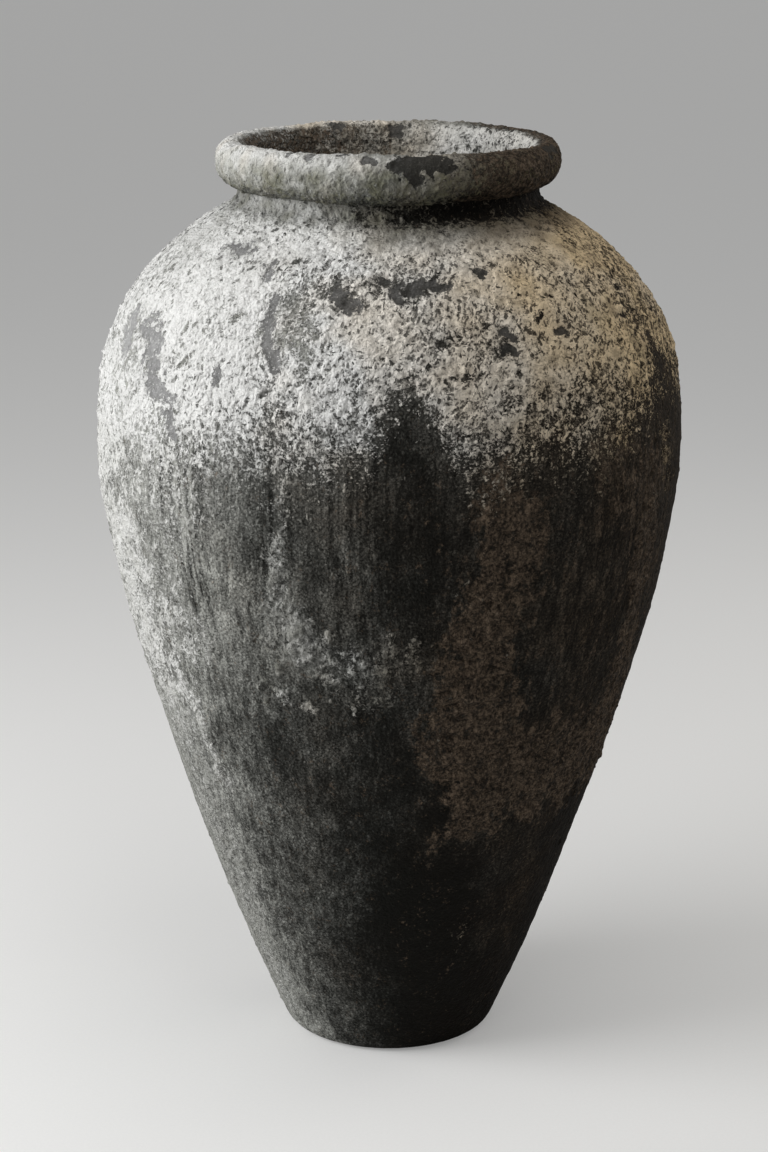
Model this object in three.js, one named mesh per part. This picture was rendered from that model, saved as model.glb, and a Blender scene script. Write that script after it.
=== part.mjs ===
// Weathered storage jar of fired clay: a tall shouldered jar on a small flat foot, open at the mouth.
// A jar of this size isn't thrown in one go. The potter makes a base slab, raises the wall on it in
// lifts, lets each lift stiffen, cuts a groove in its top and lutes the next ring into that groove.
// Each of those rings is a piece of its own here, seated in the one below.
// Millimetres, +Z up. The origin is the middle of the underside, on the jar's axis.

import * as THREE from 'three';

// Outside form
const jarHeight = 1200;
const footRadius = 143.5; // where the rounded foot edge runs into the flank
const footEdgeRadius = 22;
const flankLean = 25.8; // degrees out of plumb at the foot
const bellyRadius = 378.7;
const bellyHeight = 807; // of the widest line
const shoulderSlope = 30.5; // degrees above level where the shoulder meets the neck
const neckRadius = 190.5;
const neckFilletRadius = 23;
const neckUpright = 3; // plain upright band between the fillet and the crease

// How long each curve holds the direction of its end, as a share of its own rise
const flankHoldAtFoot = 0.165;
const flankHoldAtBelly = 0.238;
const shoulderHoldAtBelly = 0.438;
const shoulderHoldAtNeck = 0.58;

// Rolled rim
const rollHeight = 58;
const rollRadius = 220.5; // at its widest
const rollWidestBelowTop = 24;
const crestRadius = 201;
const mouthRadius = 178;
const mouthLipDepth = 26;

// Walls and base
const wallAtFoot = 26;
const wallAtCrease = 20;
const slabThickness = 30;
const cornerCoilLeg = 32;
const cornerCoilLip = 4;

// Lifts of the wall
const bellyBandBelow = 137; // from the widest line down to the band's lower seam
const bellyBandAbove = 63; // from the widest line up to the band's upper seam
const flankLifts = ['foot_wall', 'lower_flank', 'upper_flank'];
const shoulderLifts = ['shoulder_wall', 'shoulder_crown'];

// Luted seams: a tongue under each ring lies in a groove cut in the ring below
const tongueWidth = 12;
const tongueDepth = 7;
const luteGap = 0.3; // room for the slip in the groove and behind the corner coil

// Fineness of the turned faces
const turnSegments = 48;
const longStep = 48;
const roundStep = 9;

// Fired clay, by how each piece has weathered
const clays = {
  base_slab: { color: 0x4a453d, roughness: 0.95, metalness: 0 },
  base_corner_coil: { color: 0x6b6055, roughness: 0.95, metalness: 0 },
  foot_wall: { color: 0x33312d, roughness: 0.9, metalness: 0 },
  lower_flank: { color: 0x3b3936, roughness: 0.9, metalness: 0 },
  upper_flank: { color: 0x4a4843, roughness: 0.92, metalness: 0 },
  belly_band: { color: 0x6c6a65, roughness: 0.93, metalness: 0 },
  shoulder_wall: { color: 0xa39d92, roughness: 0.96, metalness: 0 },
  shoulder_crown: { color: 0xb5b0a6, roughness: 0.97, metalness: 0 },
  neck_ring: { color: 0x7b786d, roughness: 0.95, metalness: 0 },
  rim_roll: { color: 0x989588, roughness: 0.95, metalness: 0 },
};

const radians = THREE.MathUtils.degToRad;
const point = (r, z) => new THREE.Vector2(r, z);
const crease = jarHeight - rollHeight;
const filletTop = crease - neckUpright;

// Where the foot edge runs into the flank, and where the shoulder runs into the neck fillet
const flankStart = point(footRadius, footEdgeRadius * (1 - Math.sin(radians(flankLean))));
const shoulderEnd = point(
  neckRadius + neckFilletRadius * (1 - Math.sin(radians(shoulderSlope))),
  filletTop - neckFilletRadius * Math.cos(radians(shoulderSlope)));

// An arc in the plane of radius and height, drawn from one angle to the other
function arc(centre, radiusR, radiusZ, fromDegrees, toDegrees) {
  const backwards = toDegrees < fromDegrees;
  return new THREE.EllipseCurve(
    centre.x, centre.y, radiusR, radiusZ, radians(fromDegrees), radians(toDegrees), backwards);
}

function footEdgeCurve() {
  const centre = point(footRadius - footEdgeRadius * Math.cos(radians(flankLean)), footEdgeRadius);
  return arc(centre, footEdgeRadius, footEdgeRadius, -90, -flankLean);
}

function flankCurve() {
  const rise = bellyHeight - flankStart.y;
  const upward = point(Math.sin(radians(flankLean)), Math.cos(radians(flankLean)));
  return new THREE.CubicBezierCurve(
    flankStart,
    flankStart.clone().addScaledVector(upward, flankHoldAtFoot * rise),
    point(bellyRadius, bellyHeight - flankHoldAtBelly * rise),
    point(bellyRadius, bellyHeight));
}

function shoulderCurve() {
  const rise = shoulderEnd.y - bellyHeight;
  const downward = point(Math.cos(radians(shoulderSlope)), -Math.sin(radians(shoulderSlope)));
  return new THREE.CubicBezierCurve(
    point(bellyRadius, bellyHeight),
    point(bellyRadius, bellyHeight + shoulderHoldAtBelly * rise),
    shoulderEnd.clone().addScaledVector(downward, shoulderHoldAtNeck * rise),
    shoulderEnd);
}

function neckFilletCurve() {
  const centre = point(neckRadius + neckFilletRadius, filletTop);
  return arc(centre, neckFilletRadius, neckFilletRadius, 270 - shoulderSlope, 180);
}

function neckUprightCurve() {
  return new THREE.LineCurve(point(neckRadius, filletTop), point(neckRadius, crease));
}

// The outer line of the wall, each curve running upward from where the last one stopped
const outerLine = [
  { curve: footEdgeCurve(), step: roundStep },
  { curve: flankCurve(), step: longStep },
  { curve: shoulderCurve(), step: longStep },
  { curve: neckFilletCurve(), step: roundStep },
  { curve: neckUprightCurve(), step: longStep },
];

// A jar is drawn thinner as it rises
function wallAt(z) {
  return THREE.MathUtils.lerp(wallAtFoot, wallAtCrease, z / crease);
}

// The wall's two faces: the outer line itself, and the line straight through the wall behind it.
// The slab fills the foot behind the rounded edge, so the inner face starts with the flank.
const outerFace = {
  line: outerLine,
  at: (curve, t) => curve.getPoint(t),
};
const innerFace = {
  line: outerLine.slice(1),
  at: (curve, t) => {
    const outside = curve.getPoint(t);
    const upward = curve.getTangent(t);
    return outside.addScaledVector(point(-upward.y, upward.x), wallAt(outside.y));
  },
};

// How far along a curve a face reaches a height, found by halving
function placeAtHeight(face, curve, z) {
  let low = 0;
  let high = 1;
  for (let i = 0; i < 40; i += 1) {
    const middle = (low + high) / 2;
    if (face.at(curve, middle).y < z) {
      low = middle;
    } else {
      high = middle;
    }
  }
  return low;
}

// The stretch of a face between two heights, as points that run upward
function stretch(face, bottom, top) {
  const points = [];
  for (const { curve, step } of face.line) {
    const from = placeAtHeight(face, curve, bottom);
    const to = placeAtHeight(face, curve, top);
    const length = curve.getLength() * (to - from);
    if (length > luteGap) {
      const steps = Math.max(1, Math.round(length / step));
      for (let i = points.length ? 1 : 0; i <= steps; i += 1) {
        points.push(face.at(curve, THREE.MathUtils.lerp(from, to, i / steps)));
      }
    }
  }
  points[0].y = bottom;
  points[points.length - 1].y = top;
  return points;
}

function radiusAt(face, z) {
  const reaches = ({ curve }) => face.at(curve, 1).y >= z;
  const { curve } = face.line.find(reaches) ?? face.line[face.line.length - 1];
  return face.at(curve, placeAtHeight(face, curve, z)).x;
}

// The level seat of a seam: its tongue and groove run midway between the wall's two faces
function seatAt(z) {
  return point((radiusAt(outerFace, z) + radiusAt(innerFace, z)) / 2, z);
}

// The tongue under a ring, drawn from the inside out
function tongue(seat) {
  return [
    point(seat.x - tongueWidth / 2, seat.y),
    point(seat.x, seat.y - tongueDepth),
    point(seat.x + tongueWidth / 2, seat.y)];
}

// The groove in the top of a ring, drawn from the outside in, clear of the tongue all over
function groove(seat) {
  const side = Math.hypot(tongueWidth / 2, tongueDepth);
  const halfWidth = tongueWidth / 2 + luteGap * side / tongueDepth;
  const depth = tongueDepth + luteGap * side / (tongueWidth / 2);
  return [
    point(seat.x + halfWidth, seat.y),
    point(seat.x, seat.y - depth),
    point(seat.x - halfWidth, seat.y)];
}

// A round arc or an elliptical one as points, in steps that suit a tight curve
function arcPoints(centre, radiusR, radiusZ, fromDegrees, toDegrees) {
  const curve = arc(centre, radiusR, radiusZ, fromDegrees, toDegrees);
  return curve.getPoints(Math.ceil(curve.getLength() / roundStep));
}

// A piece turned about the jar's axis from its outline, drawn up the outside and down the inside
function turned(name, outline) {
  const mesh = new THREE.Mesh(
    new THREE.LatheGeometry(outline, turnSegments),
    new THREE.MeshStandardMaterial(clays[name]));
  mesh.name = name;
  return mesh;
}

function turnedRing(name, outline) {
  return turned(name, [...outline, outline[0].clone()]);
}

// The disc that the jar stands on, its lower edge rounded by wear
function baseSlab() {
  return turned('base_slab', [
    point(0, 0),
    ...stretch(outerFace, 0, slabThickness),
    ...groove(seatAt(slabThickness)),
    point(0, slabThickness)]);
}

// The coil pressed into the corner between slab and wall, wiped hollow with a finger
function baseCornerCoil() {
  const coilTop = slabThickness + cornerCoilLeg;
  const back = stretch(innerFace, slabThickness, coilTop).map(({ x, y }) => point(x - luteGap, y));
  const lip = back[back.length - 1].x - cornerCoilLip;
  const toe = back[0].x - cornerCoilLeg;
  const hollowDepth = cornerCoilLeg - cornerCoilLip;
  return turnedRing('base_corner_coil', [
    ...back,
    ...arcPoints(point(toe, coilTop), lip - toe, hollowDepth, 0, -90),
    point(toe, slabThickness)]);
}

// One ring of the wall between two seams
function wallRing(name, bottom, top) {
  return turnedRing(name, [
    ...tongue(seatAt(bottom)),
    ...stretch(outerFace, bottom, top),
    ...groove(seatAt(top)),
    ...stretch(innerFace, bottom, top).reverse()]);
}

// Rings of equal height that together fill the wall between two heights
function lifts(names, bottom, top) {
  const lift = (top - bottom) / names.length;
  return names.map((name, i) => wallRing(name, bottom + i * lift, bottom + (i + 1) * lift));
}

// The thick coil laid on the neck and rolled outward, which leaves the crease below it
function rimRoll() {
  const widest = jarHeight - rollWidestBelowTop;
  const underside = point(neckRadius, widest);
  const crown = point(crestRadius, widest);
  const lip = point(crestRadius, jarHeight - mouthLipDepth);
  return turnedRing('rim_roll', [
    ...tongue(seatAt(crease)),
    ...arcPoints(underside, rollRadius - neckRadius, widest - crease, -90, 0),
    ...arcPoints(crown, rollRadius - crestRadius, rollWidestBelowTop, 0, 90).slice(1),
    ...arcPoints(lip, crestRadius - mouthRadius, mouthLipDepth, 90, 180).slice(1),
    point(radiusAt(innerFace, crease), crease)]);
}

// The jar is turned about its own upright line and then stood on its foot
const bandBottom = bellyHeight - bellyBandBelow;
const bandTop = bellyHeight + bellyBandAbove;
const jar = new THREE.Group();
jar.rotation.x = Math.PI / 2;
jar.add(
  baseSlab(),
  baseCornerCoil(),
  ...lifts(flankLifts, slabThickness, bandBottom),
  wallRing('belly_band', bandBottom, bandTop),
  ...lifts(shoulderLifts, bandTop, shoulderEnd.y),
  wallRing('neck_ring', shoulderEnd.y, crease),
  rimRoll());

export default jar;
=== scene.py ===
import math

import bpy
import numpy as np
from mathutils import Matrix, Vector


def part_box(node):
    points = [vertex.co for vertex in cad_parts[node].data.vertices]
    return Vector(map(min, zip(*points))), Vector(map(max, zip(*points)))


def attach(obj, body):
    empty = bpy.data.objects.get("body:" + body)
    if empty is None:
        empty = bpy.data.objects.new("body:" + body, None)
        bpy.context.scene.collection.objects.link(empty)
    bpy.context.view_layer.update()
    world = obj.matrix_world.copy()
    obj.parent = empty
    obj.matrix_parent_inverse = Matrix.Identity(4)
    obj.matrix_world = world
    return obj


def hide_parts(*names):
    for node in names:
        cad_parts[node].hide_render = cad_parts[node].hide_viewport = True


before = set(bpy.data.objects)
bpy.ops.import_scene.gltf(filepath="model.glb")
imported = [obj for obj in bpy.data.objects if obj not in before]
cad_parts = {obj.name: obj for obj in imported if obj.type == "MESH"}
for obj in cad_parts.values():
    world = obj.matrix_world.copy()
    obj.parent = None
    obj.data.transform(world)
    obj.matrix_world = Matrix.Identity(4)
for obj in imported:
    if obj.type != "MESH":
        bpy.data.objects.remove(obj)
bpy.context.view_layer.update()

# The jar's outline, in metres, with the same values as the turned solids
FOOT_RADIUS = 0.1435
FOOT_EDGE = 0.022
FLANK_LEAN = math.radians(25.8)
BELLY_RADIUS = 0.3787
BELLY_HEIGHT = 0.807
SHOULDER_SLOPE = math.radians(30.5)
NECK_RADIUS = 0.1905
NECK_FILLET = 0.023
CREASE = 1.142
NECK_UPRIGHT = 0.003
FLANK_HOLDS = (0.165, 0.238)
SHOULDER_HOLDS = (0.438, 0.58)
ROLL_WIDEST = 1.176
ROLL_REACH = 0.030
ROLL_HANG = 0.034
CREST_RADIUS = 0.201
CREST_WIDTH = 0.0195
CREST_RISE = 0.024
LIP_WIDTH = 0.023
LIP_DEPTH = 0.026
WALL_AT_FOOT = 0.026
WALL_AT_CREASE = 0.020
TONGUE_WIDTH = 0.012
TONGUE_DEPTH = 0.007
LUTE_GAP = 0.0003
COIL_LEG = 0.032
COIL_LIP = 0.004

# How finely the clay is drawn
COLUMNS = 960
INNER_COLUMNS = 480
SKIN_STEP = 0.0026
NECK_STEP = 0.0017
MOST_ROWS = 84
FOOT_ROWS = 15
ROLL_ROWS = 76
INNER_STEP = 0.013
UNDERSIDE_ROWS = 22
INNER_FLOOR_ROWS = 18
COIL_BACK_ROWS = 5
COIL_FACE_ROWS = 13
AXIS_RADIUS = 0.002
UNDERSIDE_RADIUS = 0.118
# Millimetres that the underside is worn hollow in places
UNDERSIDE_WEAR = 0.5
# Near the axis a circle has half the points of the last, down to the fewest, once they crowd closer than this
FEWEST_POINTS = 30
CLOSEST_POINTS = 0.0025

BODY_RINGS = ("foot_wall", "lower_flank", "upper_flank", "belly_band",
              "shoulder_wall", "shoulder_crown", "neck_ring")

MM = 0.001

# How far the edges of marks stray, as a share of their width and in millimetres at most
STRAY = 0.42
MOST_STRAY = 26
GROUND_STRAY = 0.25
CHARRED_STRAY = 0.12
FLAKED_STRAY = 0.7
# What a patch counts far away from its strokes
OUTSIDE = -9.0

# Grains and lumps on the clay: how many are tried, the seed, and the least and the most width in millimetres
BODY_GRAINS = (9000, 5, 1.6, 3.6)
BODY_LUMPS = (15000, 6, 3.0, 8.0)
ROLL_GRAINS = (2600, 9, 1.6, 3.6)
# How many rows and columns of the grid one of them may reach
GRAIN_ROWS = 4
GRAIN_COLUMNS = 6


def smooth(low, high, value):
    t = np.clip((value - low) / (high - low), 0, 1)
    return t * t * (3 - 2 * t)


# Seeded noise, drawn on the clay itself so that it runs round the jar without a join
NOISE_SEED = 1142
SEED_SHIFT = 31.7
NOISE_GAIN = 3.6
dice = np.random.default_rng(NOISE_SEED)
SHUFFLE = dice.permutation(256)
LEANINGS = dice.normal(size=(256, 3))
LEANINGS /= np.linalg.norm(LEANINGS, axis=1)[:, None]
LEANINGS = LEANINGS.astype(np.float32)


def noise(points, cell, seed):
    """Smooth noise of about unit spread. A cell of three sizes stretches it."""
    p = (points / np.array(cell) + SEED_SHIFT * seed).astype(np.float32)
    i = np.floor(p).astype(np.int32)
    f = p - i
    ease = f * f * f * (f * (f * 6 - 15) + 10)
    total = np.zeros(p.shape[:-1], np.float32)
    for corner in range(8):
        step = np.array([corner & 1, corner >> 1 & 1, corner >> 2])
        at = (i + step) & 255
        k = SHUFFLE[(at[..., 0] + SHUFFLE[(at[..., 1] + SHUFFLE[at[..., 2]]) & 255]) & 255]
        share = np.where(step, ease, 1 - ease).prod(-1)
        total += share * (LEANINGS[k] * (f - step)).sum(-1)
    return total * NOISE_GAIN


# The outline as points

def quarter(middle, half_width, half_height, start, end, count=60):
    t = np.radians(np.linspace(start, end, count))
    return np.stack([middle[0] + half_width * np.cos(t), middle[1] + half_height * np.sin(t)], 1)


def sweep(a, b, c, d, count=900):
    t = np.linspace(0, 1, count)[:, None]
    return (1 - t) ** 3 * a + 3 * (1 - t) ** 2 * t * b + 3 * (1 - t) * t * t * c + t ** 3 * d


def body_outline():
    lean = np.array([math.sin(FLANK_LEAN), math.cos(FLANK_LEAN)])
    foot_middle = (FOOT_RADIUS - FOOT_EDGE * lean[1], FOOT_EDGE)
    foot = quarter(foot_middle, FOOT_EDGE, FOOT_EDGE, -90, -math.degrees(FLANK_LEAN))
    start = foot[-1]
    belly = np.array([BELLY_RADIUS, BELLY_HEIGHT])
    rise = BELLY_HEIGHT - start[1]
    flank = sweep(start, start + FLANK_HOLDS[0] * rise * lean,
                  belly - np.array([0, FLANK_HOLDS[1] * rise]), belly)
    fillet_middle = (NECK_RADIUS + NECK_FILLET, CREASE - NECK_UPRIGHT)
    fillet = quarter(fillet_middle, NECK_FILLET, NECK_FILLET, 270 - math.degrees(SHOULDER_SLOPE), 180)
    end = fillet[0]
    down = np.array([math.cos(SHOULDER_SLOPE), -math.sin(SHOULDER_SLOPE)])
    rise = end[1] - BELLY_HEIGHT
    shoulder = sweep(belly, belly + np.array([0, SHOULDER_HOLDS[0] * rise]),
                     end + SHOULDER_HOLDS[1] * rise * down, end)
    top = np.array([[NECK_RADIUS, CREASE]])
    return np.vstack([foot, flank[1:], shoulder[1:], fillet[1:], top]), len(foot) - 1


def roll_outline():
    under = quarter((NECK_RADIUS, ROLL_WIDEST), ROLL_REACH, ROLL_HANG, -90, 0)
    over = quarter((CREST_RADIUS, ROLL_WIDEST), CREST_WIDTH, CREST_RISE, 0, 90)
    lip_middle = (CREST_RADIUS, ROLL_WIDEST + CREST_RISE - LIP_DEPTH)
    lip = quarter(lip_middle, LIP_WIDTH, LIP_DEPTH, 90, 180)
    throat = np.array([[NECK_RADIUS - WALL_AT_CREASE, CREASE]])
    return np.vstack([under, over[1:], lip[1:], throat])


def lengths_along(line):
    return np.concatenate([[0], np.cumsum(np.hypot(*np.diff(line, axis=0).T))])


def outward(line):
    """Unit normals of an outline that runs up the outside."""
    d = np.gradient(line, axis=0)
    n = np.stack([d[:, 1], -d[:, 0]], 1)
    return n / np.linalg.norm(n, axis=1)[:, None]


BODY_LINE, FLANK_FROM = body_outline()
BODY_LENGTH = lengths_along(BODY_LINE)
ROLL_LINE = roll_outline()
ROLL_LENGTH = lengths_along(ROLL_LINE)
walls = WALL_AT_FOOT + (WALL_AT_CREASE - WALL_AT_FOOT) * BODY_LINE[:, 1] / CREASE
INNER_LINE = (BODY_LINE - outward(BODY_LINE) * walls[:, None])[FLANK_FROM:]
INNER_LINE[-1] = (NECK_RADIUS - WALL_AT_CREASE, CREASE)


def up_the_body(height):
    """Distance along the outside at a height."""
    return np.interp(height, BODY_LINE[:, 1], BODY_LENGTH)


def outer_radius(height):
    return np.interp(height, BODY_LINE[:, 1], BODY_LINE[:, 0])


def inner_radius(height):
    return np.interp(height, INNER_LINE[:, 1], INNER_LINE[:, 0])


# The skin: one drawn surface from the foot to the crease, another round the roll, cut into rings at the seams

def bearings(columns):
    """Degrees round the jar: 0 faces the viewer and the right hand side is positive."""
    return -180 + 360 * np.arange(columns) / columns


def turn(radius, height, degrees):
    a = np.radians(degrees)
    x = radius * np.sin(a)
    y = -radius * np.cos(a)
    return np.stack(np.broadcast_arrays(x, y, height), -1)


class Skin:
    """A surface turned from an outline, with its marks and its relief."""

    def __init__(self, line, lengths, stops, on_roll):
        self.on_roll = on_roll
        self.along = np.array(stops)
        self.radius = np.interp(stops, lengths, line[:, 0])[:, None]
        self.height = np.interp(stops, lengths, line[:, 1])[:, None]
        self.round = bearings(COLUMNS)[None, :]
        normals = outward(line)
        lean = np.stack([np.interp(stops, lengths, normals[:, k]) for k in (0, 1)], 1)
        lean /= np.linalg.norm(lean, axis=1)[:, None]
        self.points = turn(self.radius, self.height, self.round)
        self.facing = turn(lean[:, :1], lean[:, 1:], self.round)
        self.slope = np.arctan2(lean[:, :1], -lean[:, 1:]) + 0 * self.round
        self.wander = [self.wandering(20), self.wandering(30)]

    def noise(self, cell, seed):
        return noise(self.points, cell, seed)

    def wandering(self, seed):
        """How far the edge of a mark strays, from broad sways down to a ragged line."""
        sway = 0.50 * self.noise(0.080, seed) + 0.42 * self.noise(0.034, seed + 1)
        return sway + 0.34 * self.noise(0.015, seed + 2) + 0.22 * self.noise(0.007, seed + 3)

    def set_marks(self, **values):
        """Keeps the marks, each spread over the whole surface."""
        self.marks = {k: np.broadcast_to(value, self.slope.shape) for k, value in values.items()}

    def patch(self, stops, straying=STRAY):
        """Above 0 inside a brush mark and 1 at its middle. Stops are degrees round, millimetres up
        (on the roll, millimetres out of the crease) and half its width in millimetres."""
        best = np.full(self.slope.shape, OUTSIDE)
        up = self.along[:, None] / MM
        if len(stops) == 1:
            stops = [stops[0], stops[0]]
        for (a, at, wide), (b, to, wider) in zip(stops, stops[1:]):
            if not self.on_roll:
                at, to = up_the_body(np.array([at, to]) * MM) / MM
            stray = min(MOST_STRAY, straying * (wide + wider) / 2)
            reach = self.radius / MM * math.pi / 180
            off = (self.round - a + 180) % 360 - 180
            x = off * reach + stray * self.wander[0]
            y = up - at + stray * self.wander[1]
            dx = (b - a) * reach
            dy = to - at
            t = np.clip((x * dx + y * dy) / np.maximum(dx * dx + dy * dy, 1e-6), 0, 1)
            gap = np.hypot(x - t * dx, y - t * dy)
            best = np.maximum(best, 1 - gap / (wide + (wider - wide) * t))
        return best

    def lay(self, relief):
        """Moves the surface by its relief in millimetres and finds the normals of the result."""
        self.laid = self.points + self.facing * (relief * MM)[..., None]
        upward = np.gradient(self.laid, axis=0)
        around = np.roll(self.laid, -1, axis=1) - np.roll(self.laid, 1, axis=1)
        n = np.cross(around, upward)
        self.normals = n / np.linalg.norm(n, axis=2)[..., None]


def likely(share):
    """Turns a share of the surface that is covered into an offset for noise of unit spread."""
    share = np.clip(share, 0.004, 0.996)
    return np.log(share / (1 - share)) / 1.7


# Where the lime crust starts: degrees round and height in millimetres
CRUST_FOOT = [
    (-180, 925), (-164, 850), (-148, 832), (-128, 940), (-112, 905), (-95, 850), (-75, 868), (-60, 878),
    (-45, 866), (-37, 876), (-30, 898), (-23, 918), (-16, 898), (-9, 906), (-4, 904), (0, 938), (4, 950),
    (8, 925), (11, 880), (16, 876), (22, 890), (30, 904), (40, 886), (50, 900), (57, 924), (63, 950),
    (68, 960), (76, 935), (90, 905), (104, 842), (118, 828), (134, 945), (150, 868), (162, 848), (180, 925),
]
# How much of the shoulder it covers
CRUST_SHARE = [
    (-180, .80), (-140, .70), (-100, .80), (-75, .82), (-50, .94), (-34, .94), (-24, .86), (0, .84),
    (30, .86), (55, .82), (64, .66), (75, .68), (100, .74), (140, .78), (180, .80),
]
# How many dark strokes and pits break it
GAPS = [
    (-180, .34), (-140, .40), (-90, .26), (-60, .16), (-34, .14), (-20, .26), (-4, .36), (10, .46),
    (30, .50), (46, .42), (70, .34), (110, .36), (150, .36), (180, .34),
]
# How the crust thins out below its foot: degrees round, millimetres down, share at the foot
CRUST_APRON = [
    (-180, 120, .42), (-150, 170, .5), (-110, 130, .45), (-85, 220, .62), (-70, 330, .80), (-48, 300, .76),
    (-36, 220, .76), (-23, 200, .66), (-12, 150, .62), (0, 90, .5), (25, 125, .52), (45, 120, .48),
    (70, 100, .4), (110, 150, .45), (180, 120, .42),
]
# Where the shoulder's crust has worn thin: share taken off, softness, stops
WORN = [
    (.52, .9, [(-23, 1046, 26), (-19, 1012, 40), (-18, 972, 28)]),
    (.40, .8, [(-14, 1054, 26), (-9, 1044, 30)]),
    (.30, .9, [(-8, 1058, 18), (2, 1060, 18), (10, 1056, 14)]),
    (.20, .9, [(-62, 975, 44), (-60, 945, 44), (-52, 930, 26)]),
    (.20, .9, [(-48, 1086, 26), (-33, 1072, 18)]),
    (.24, .9, [(10, 1000, 26), (23, 994, 20)]),
    (.20, .9, [(-17, 1084, 14), (-5, 1086, 14)]),
    (.26, .9, [(62, 1012, 10), (65, 980, 12), (68, 930, 14)]),
    (.20, .9, [(42, 945, 16), (50, 934, 16)]),
    (.30, .9, [(22, 925, 22), (36, 922, 26), (52, 930, 24)]),
    (.22, .9, [(62, 1000, 20), (67, 940, 26)]),
    (.30, .9, [(-96, 990, 50), (-110, 1040, 40)]),
    (.34, .9, [(-150, 985, 50), (-135, 950, 36)]),
    (.30, .9, [(114, 1030, 44), (126, 1000, 34)]),
    (.34, .9, [(152, 960, 46), (166, 990, 30)]),
]
# Crust on the flank: share covered, softness of the edge, stops
FLANK_CRUST = [
    (.96, .7, [(-74, 860, 180), (-68, 640, 160), (-63, 550, 105)]),
    (.58, .9, [(-64, 520, 110), (-62, 380, 90), (-58, 200, 70), (-54, 60, 60)]),
    (.80, 1.0, [(-62, 730, 66), (-54, 664, 94), (-45, 600, 74)]),
    (.84, .9, [(-52, 520, 26), (-49, 450, 30), (-46, 400, 26)]),
    (.50, .9, [(-47, 1088, 20), (-40, 1094, 20)]),
    (.50, .9, [(-44, 860, 90), (-36, 800, 70)]),
    (.60, .9, [(-20, 860, 16), (-20, 700, 16)]),
    (.74, .9, [(-21, 760, 24), (-21, 670, 46), (-19, 618, 66)]),
    (.64, .8, [(-12, 640, 22), (-12, 590, 30)]),
    (.60, .8, [(-6, 612, 34), (-5, 590, 26)]),
    (.60, .8, [(-1, 640, 18), (-1, 596, 28)]),
    (.46, .8, [(4, 620, 26), (5, 590, 20)]),
    (.84, .7, [(-28, 566, 24), (-25, 546, 22)]),
    (.60, .8, [(-22, 548, 26), (-17, 540, 22)]),
    (.34, .9, [(-9, 552, 30), (0, 556, 26)]),
    (.26, 1.2, [(-48, 330, 60), (-42, 230, 60), (-34, 150, 50)]),
    (.40, 1.2, [(-50, 100, 50), (-40, 40, 50)]),
    (.16, .9, [(24, 190, 40)]),
    (.40, .9, [(66, 850, 34), (70, 800, 28)]),
    (.42, .9, [(118, 840, 90), (128, 600, 90), (124, 380, 70)]),
    (.52, .9, [(-152, 850, 70), (-146, 640, 90), (-140, 480, 60)]),
    (.46, .9, [(-112, 740, 80), (-108, 540, 80)]),
    (.38, .9, [(-128, 200, 90), (-100, 120, 80)]),
    (.34, .9, [(168, 700, 70), (174, 480, 64)]),
]
# Smooth places where the crust has come off: how pale each still is, and its stops
FLAKED = [
    # The first row is a dark strip along the left lip of a worn place: partly painted shadow of the lip,
    # partly dark clay.
    (.36, [(-27, 1046, 5), (-26.3, 1014, 8), (-24.5, 988, 8), (-22, 964, 6)]),
    (.20, [(-13, 1052, 9), (-11, 1042, 13), (-8.6, 1032, 9)]),
    (.12, [(-.6, 1064, 9)]),
    (.10, [(3.8, 1059, 12)]),
    (.10, [(7.2, 1062, 9)]),
    (.12, [(10, 1059, 8), (13, 1058, 6)]),
    (.14, [(1.4, 1048, 8), (3, 1044, 6)]),
    (.12, [(22.4, 1064, 9)]),
    (.54, [(-53, 950, 17), (-49, 926, 21)]),
    (.58, [(-58, 992, 17), (-54, 974, 15)]),
    (.72, [(-67, 985, 14), (-66, 955, 12)]),
    (.46, [(-36, 960, 7), (-35, 948, 7)]),
    (.44, [(-32, 1074, 7), (-31, 1064, 8)]),
    (.46, [(-50, 1088, 12), (-45, 1086, 12)]),
    (.50, [(-46.5, 893, 12), (-45, 876, 9)]),
    (.16, [(24, 1003, 8), (26, 996, 6)]),
    (.08, [(23, 987, 6), (25, 985, 5)]),
    (.10, [(36, 1000, 5), (38, 997, 5)]),
    (.50, [(-92, 1000, 22), (-88, 960, 16)]),
    (.44, [(-118, 1055, 12), (-108, 1048, 9)]),
    (.14, [(-104, 1040, 6), (-100, 1036, 4)]),
    (.40, [(-150, 980, 18), (-143, 955, 14)]),
    (.12, [(-136, 1012, 7), (-131, 1004, 6)]),
    (.30, [(118, 1040, 16), (124, 1010, 11)]),
    (.10, [(110, 990, 6), (113, 980, 5)]),
    (.32, [(150, 960, 17), (158, 940, 12)]),
    (.12, [(139, 1020, 7)]),
    (.34, [(172, 1010, 11)]),
]
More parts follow.
